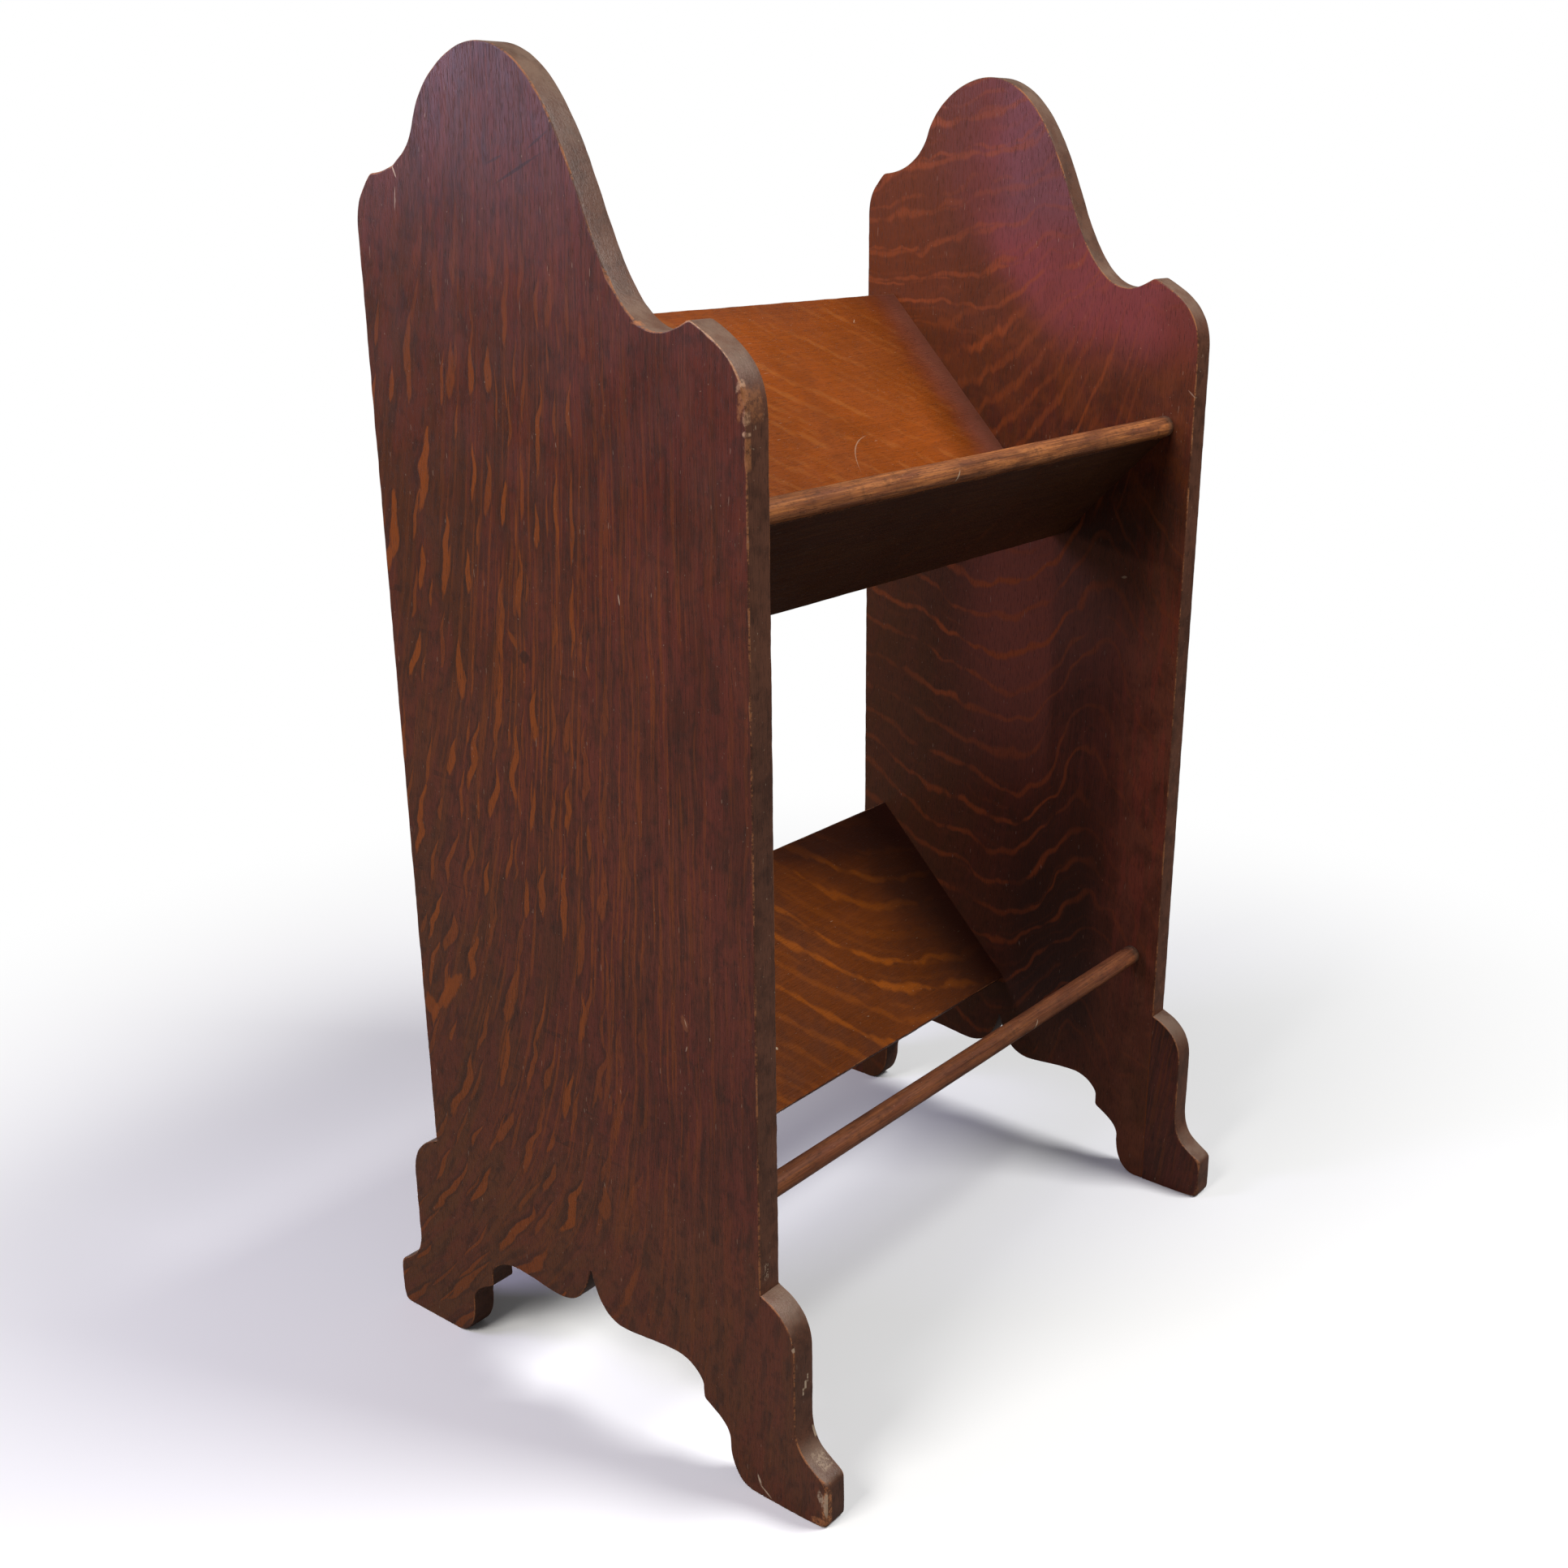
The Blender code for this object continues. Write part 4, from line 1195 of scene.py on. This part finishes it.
def beside_seam(points):
    """Which points of an outline lie where the body board and the ears meet."""
    return np.abs(np.abs(points[:, 0]) - HALF_BODY) < ON_SEAM


def panel_outline(sizes):
    """Outline of the body board and the part of it that is glued to the ears."""
    crest = placed(CREST_SHARES, (HALF_BODY, sizes.crest_height), (0.0, HEIGHT - sizes.crest_height))
    arch = placed(ARCH_SHARES, (HALF_BODY - sizes.heel_flat, sizes.arch_height))
    knots = straight((-HALF_BODY, 0.0)) + crest + straight((HALF_BODY, 0.0))
    knots += mirrored(arch)[:-1] + turned_round(arch)
    points = closed_outline(knots, sizes.outline_step, sizes.corner_ease)
    return points, beside_seam(points) & (points[:, 1] < EAR_HEIGHT - 0.001)


def ear_outline(sizes, facing):
    """Outline of an ear beside the body board, and the part of it along the seam."""
    knots = placed(EAR_SHARES, (EAR_WIDTH, EAR_HEIGHT), (HALF_BODY, 0.0))
    if facing < 0:
        knots = mirrored(knots)
    points = closed_outline(knots, sizes.outline_step, sizes.corner_ease * 0.35)
    return points, beside_seam(points)


def upright_grain(centre_x, move=(0.0, 0.0), lean=0.0):
    """Grain of an upright board: along Z, across Y, with its own move and lean."""

    def place(points):
        x, y, z = points.T
        along = z * math.cos(lean) - y * math.sin(lean) + move[0]
        across = y * math.cos(lean) + z * math.sin(lean) + move[1]
        return np.stack([along, across, x - centre_x], axis=1)

    return place


class TROUGH_OT_end_panels(Operator):
    """Make the two end panels with their crests and arches"""

    bl_idname = "trough.end_panels"
    bl_label = "End Panels"

    def execute(self, context):
        sizes, finish, stage = settings()
        points, glued = panel_outline(sizes)
        plan = (
            ("left", -1, NEAR_CHIPS, near_panel_marks, 0.28, STILL, MOVED),
            ("right", 1, (), far_panel_marks, 0.17, MOVED, STILL),
        )
        for side, sign, chips, marks, sheen, outer_shift, inner_shift in plan:
            node = "end_panel_" + side
            low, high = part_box(node)
            centre = (low.x + high.x) / 2
            piece = flat_piece(
                side + "_end_panel", points, glued, centre, sizes, stage.seed + 20 * sign, chips,
                upright_grain(centre),
            )
            material = panel_oak(side + "_panel_oak", finish, sign, marks, sheen, outer_shift, inner_shift)
            dress(piece, material, node)
        return {"FINISHED"}


class TROUGH_OT_foot_ears(Operator):
    """Make the four ears that widen the feet"""

    bl_idname = "trough.foot_ears"
    bl_label = "Foot Ears"

    def execute(self, context):
        sizes, finish, stage = settings()
        plan = (
            ("left_front", -1, near_front_ear_marks, ()),
            ("left_back", 1, no_marks, ()),
            ("right_front", -1, far_front_ear_marks, (FAR_EAR_MOVE, FAR_EAR_LEAN)),
            ("right_back", 1, no_marks, (FAR_EAR_MOVE, FAR_EAR_LEAN)),
        )
        for place, facing, marks, turned in plan:
            node = "foot_ear_" + place
            low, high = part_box(node)
            centre = (low.x + high.x) / 2
            points, glued = ear_outline(sizes, facing)
            piece = flat_piece(
                place + "_ear", points, glued, centre, sizes, stage.seed + 5 * facing, TOE_CHIPS,
                upright_grain(centre, *turned),
            )
            dress(piece, ear_oak(piece.name + "_oak", finish, marks), node)
        return {"FINISHED"}


def board_axes(sizes, leans_back):
    """Directions in (Y, Z) up a tilted board's slope and through the board."""
    cosine, sine = math.cos(sizes.board_tilt), math.sin(sizes.board_tilt)
    axes = np.array((cosine, sine)), np.array((-sine, cosine))
    return axes if leans_back else axes[::-1]


def section_of(node, sizes, leans_back, tuck=0.0):
    """Corners of a tilted board's section in (Y, Z), found from its box, its thickness and its tilt.

    The tuck makes its upper edge reach further, under the rail that hides it.
    """
    low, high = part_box(node)
    thickness = sizes.board_thickness
    middle = np.array(((low.y + high.y) / 2, (low.z + high.z) / 2))
    width = (high.y - low.y - thickness * math.sin(sizes.board_tilt)) / math.cos(sizes.board_tilt)
    up_slope, through = board_axes(sizes, leans_back)
    foot, top = middle - up_slope * width / 2, middle + up_slope * (width / 2 + tuck)
    side = through * thickness / 2
    return [foot + side, top + side, top - side, foot - side]


def level_section_of(node, sizes):
    """Corners of the upper back board's section, whose foot is cut level."""
    low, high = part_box(node)
    cosine, sine = math.cos(sizes.board_tilt), math.sin(sizes.board_tilt)
    thickness = sizes.board_thickness
    return [
        (low.y, low.z), (high.y - thickness * sine, high.z),
        (high.y, high.z - thickness * cosine), (low.y + thickness / sine, low.z),
    ]


def sloping_grain(foot, sizes, leans_back):
    """Grain of a board along X: along X, across up its slope from its foot, depth from its middle."""
    up_slope, through = board_axes(sizes, leans_back)

    def place(points):
        section = points[:, 1:] - foot
        across, depth = section @ up_slope, section @ through + sizes.board_thickness / 2
        return np.stack([points[:, 0], across, depth], axis=1)

    return place


class TROUGH_OT_trough_boards(Operator):
    """Make the two boards of the V-shaped upper trough"""

    bl_idname = "trough.trough_boards"
    bl_label = "Trough Boards"

    def execute(self, context):
        sizes, finish, stage = settings()
        low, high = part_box("upper_back_board")
        corners = level_section_of("upper_back_board", sizes)
        grain = sloping_grain(corners[0], sizes, True)
        back = board_piece("trough_back_board", corners, low.x, high.x, sizes, stage.seed + 31, grain)
        dress(back, honey_board_oak("honey_oak", finish), "upper_back_board")
        low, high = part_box("upper_front_board")
        corners = section_of("upper_front_board", sizes, False, RAIL_TUCK)
        grain = sloping_grain(corners[3], sizes, False)
        front = board_piece("trough_front_board", corners, low.x, high.x, sizes, stage.seed + 37, grain)
        dress(front, front_board_oak("front_board_oak", finish), "upper_front_board")
        return {"FINISHED"}


class TROUGH_OT_shelf_board(Operator):
    """Make the slanted board of the lower shelf"""

    bl_idname = "trough.shelf_board"
    bl_label = "Shelf Board"

    def execute(self, context):
        sizes, finish, stage = settings()
        low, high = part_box("lower_back_board")
        corners = section_of("lower_back_board", sizes, True)
        grain = sloping_grain(corners[0], sizes, True)
        piece = board_piece("shelf_board", corners, low.x, high.x, sizes, stage.seed + 41, grain)
        dress(piece, shelf_oak("shelf_oak", finish), "lower_back_board")
        return {"FINISHED"}


class TROUGH_OT_rails(Operator):
    """Make the two round rails"""

    bl_idname = "trough.rails"
    bl_label = "Rails"

    def execute(self, context):
        _, finish, stage = settings()
        plan = (("upper_rail", 0.90, -0.040), ("lower_rail", 0.29, 0.085))
        for index, (node, rub_and_light, nick) in enumerate(plan):
            low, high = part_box(node)
            piece = rail_piece(node.replace("_rail", "_round_rail"), low, high, stage.seed + 50 + index)
            dress(piece, rail_oak(node + "_oak", finish, rub_and_light, nick), node)
        return {"FINISHED"}


def area_lamp(name, place, aim, reach, power, colour):
    """A soft lamp of a width and a height, at place, that shines at aim."""
    data = bpy.data.lights.new(name, "AREA")
    data.shape = "RECTANGLE"
    data.size, data.size_y = reach
    data.energy = power
    data.color = colour
    lamp = bpy.data.objects.new(name, data)
    lamp.location = place
    direction = Vector(aim) - Vector(place)
    lamp.rotation_euler = direction.to_track_quat("-Z", "Y").to_euler()
    bpy.context.scene.collection.objects.link(lamp)


def floor_material():
    """Pale floor: it takes the object's shadow near by and turns pure white further off.

    The camera sees it pale. Other rays meet a mid grey, so that it doesn't light the object from below.
    """
    material = bpy.data.materials.new("pale_floor")
    material.use_nodes = True
    material.node_tree.nodes.clear()
    weave = Weaver(material.node_tree)
    place = weave.value("ShaderNodeTexCoord", output="Object")
    away = weave.value("ShaderNodeVectorMath", {0: place}, "Value", operation="LENGTH")
    pale = weave.value("ShaderNodeBsdfDiffuse", {"Color": (0.93, 0.93, 0.93, 1)})
    white = weave.value("ShaderNodeEmission", {"Color": (1, 1, 1, 1), "Strength": 1.0})
    seen = weave.value("ShaderNodeMixShader", {0: away.ramp(0.45, 1.15), 1: pale, 2: white})
    grey = weave.value("ShaderNodeBsdfDiffuse", {"Color": (0.22, 0.21, 0.20, 1)})
    camera = weave.value("ShaderNodeLightPath", output="Is Camera Ray")
    either = weave.value("ShaderNodeMixShader", {0: camera, 1: grey, 2: seen})
    weave.node("ShaderNodeOutputMaterial", {0: either})
    return material


def room_light(level):
    """World: white to the camera, a plain soft grey to everything else."""
    world = bpy.data.worlds.new("plain_room")
    world.use_nodes = True
    world.node_tree.nodes.clear()
    weave = Weaver(world.node_tree)
    camera = weave.value("ShaderNodeLightPath", output="Is Camera Ray")
    soft = weave.value("ShaderNodeBackground", {0: (0.96, 0.98, 1.0, 1), 1: level})
    white = weave.value("ShaderNodeBackground", {0: (1, 1, 1, 1), 1: 1.0})
    either = weave.value("ShaderNodeMixShader", {0: camera, 1: soft, 2: white})
    weave.node("ShaderNodeOutputWorld", {0: either})
    bpy.context.scene.world = world


class TROUGH_OT_stage(Operator):
    """Make the floor, the lamps, the room and the camera"""

    bl_idname = "trough.stage"
    bl_label = "Stage"

    def execute(self, context):
        scene = context.scene
        stage = scene.trough_stage
        bpy.ops.mesh.primitive_plane_add(size=2 * stage.floor_reach)
        floor = context.object
        floor.name = "studio_floor"
        floor.data.materials.append(floor_material())
        for lamp in LAMPS:
            area_lamp(*lamp)
        room_light(stage.sky_level)
        data = bpy.data.cameras.new("photo_camera")
        data.sensor_width = 36.0
        data.lens = stage.camera_lens
        data.shift_x, data.shift_y = stage.camera_shift
        camera = bpy.data.objects.new("photo_camera", data)
        camera.location = stage.camera_place
        camera.rotation_euler = stage.camera_turn
        scene.collection.objects.link(camera)
        scene.camera = camera
        scene.view_settings.view_transform = "Standard"
        return {"FINISHED"}


class TROUGH_PT_sidebar(Panel):
    """Lists the makers of the book trough"""

    bl_idname = "TROUGH_PT_sidebar"
    bl_label = "Book Trough"
    bl_space_type = "VIEW_3D"
    bl_region_type = "UI"
    bl_category = "Book Trough"

    def draw(self, context):
        for maker in MAKERS:
            self.layout.operator(maker.bl_idname)


MAKERS = (
    TROUGH_OT_end_panels,
    TROUGH_OT_foot_ears,
    TROUGH_OT_trough_boards,
    TROUGH_OT_shelf_board,
    TROUGH_OT_rails,
    TROUGH_OT_stage,
)
CLASSES = (TroughSizes, TroughFinish, TroughStage, *MAKERS, TROUGH_PT_sidebar)


def register():
    """Add the makers, their panel and their settings."""
    for cls in CLASSES:
        bpy.utils.register_class(cls)
    bpy.types.Scene.trough_sizes = PointerProperty(type=TroughSizes)
    bpy.types.Scene.trough_finish = PointerProperty(type=TroughFinish)
    bpy.types.Scene.trough_stage = PointerProperty(type=TroughStage)


def unregister():
    """Take away what register added."""
    del bpy.types.Scene.trough_stage
    del bpy.types.Scene.trough_finish
    del bpy.types.Scene.trough_sizes
    for cls in reversed(CLASSES):
        bpy.utils.unregister_class(cls)


def main():
    """Make every piece and the stage in order."""
    register()
    bpy.ops.trough.end_panels()
    bpy.ops.trough.foot_ears()
    bpy.ops.trough.trough_boards()
    bpy.ops.trough.shelf_board()
    bpy.ops.trough.rails()
    bpy.ops.trough.stage()


if __name__ == "__main__":
    main()
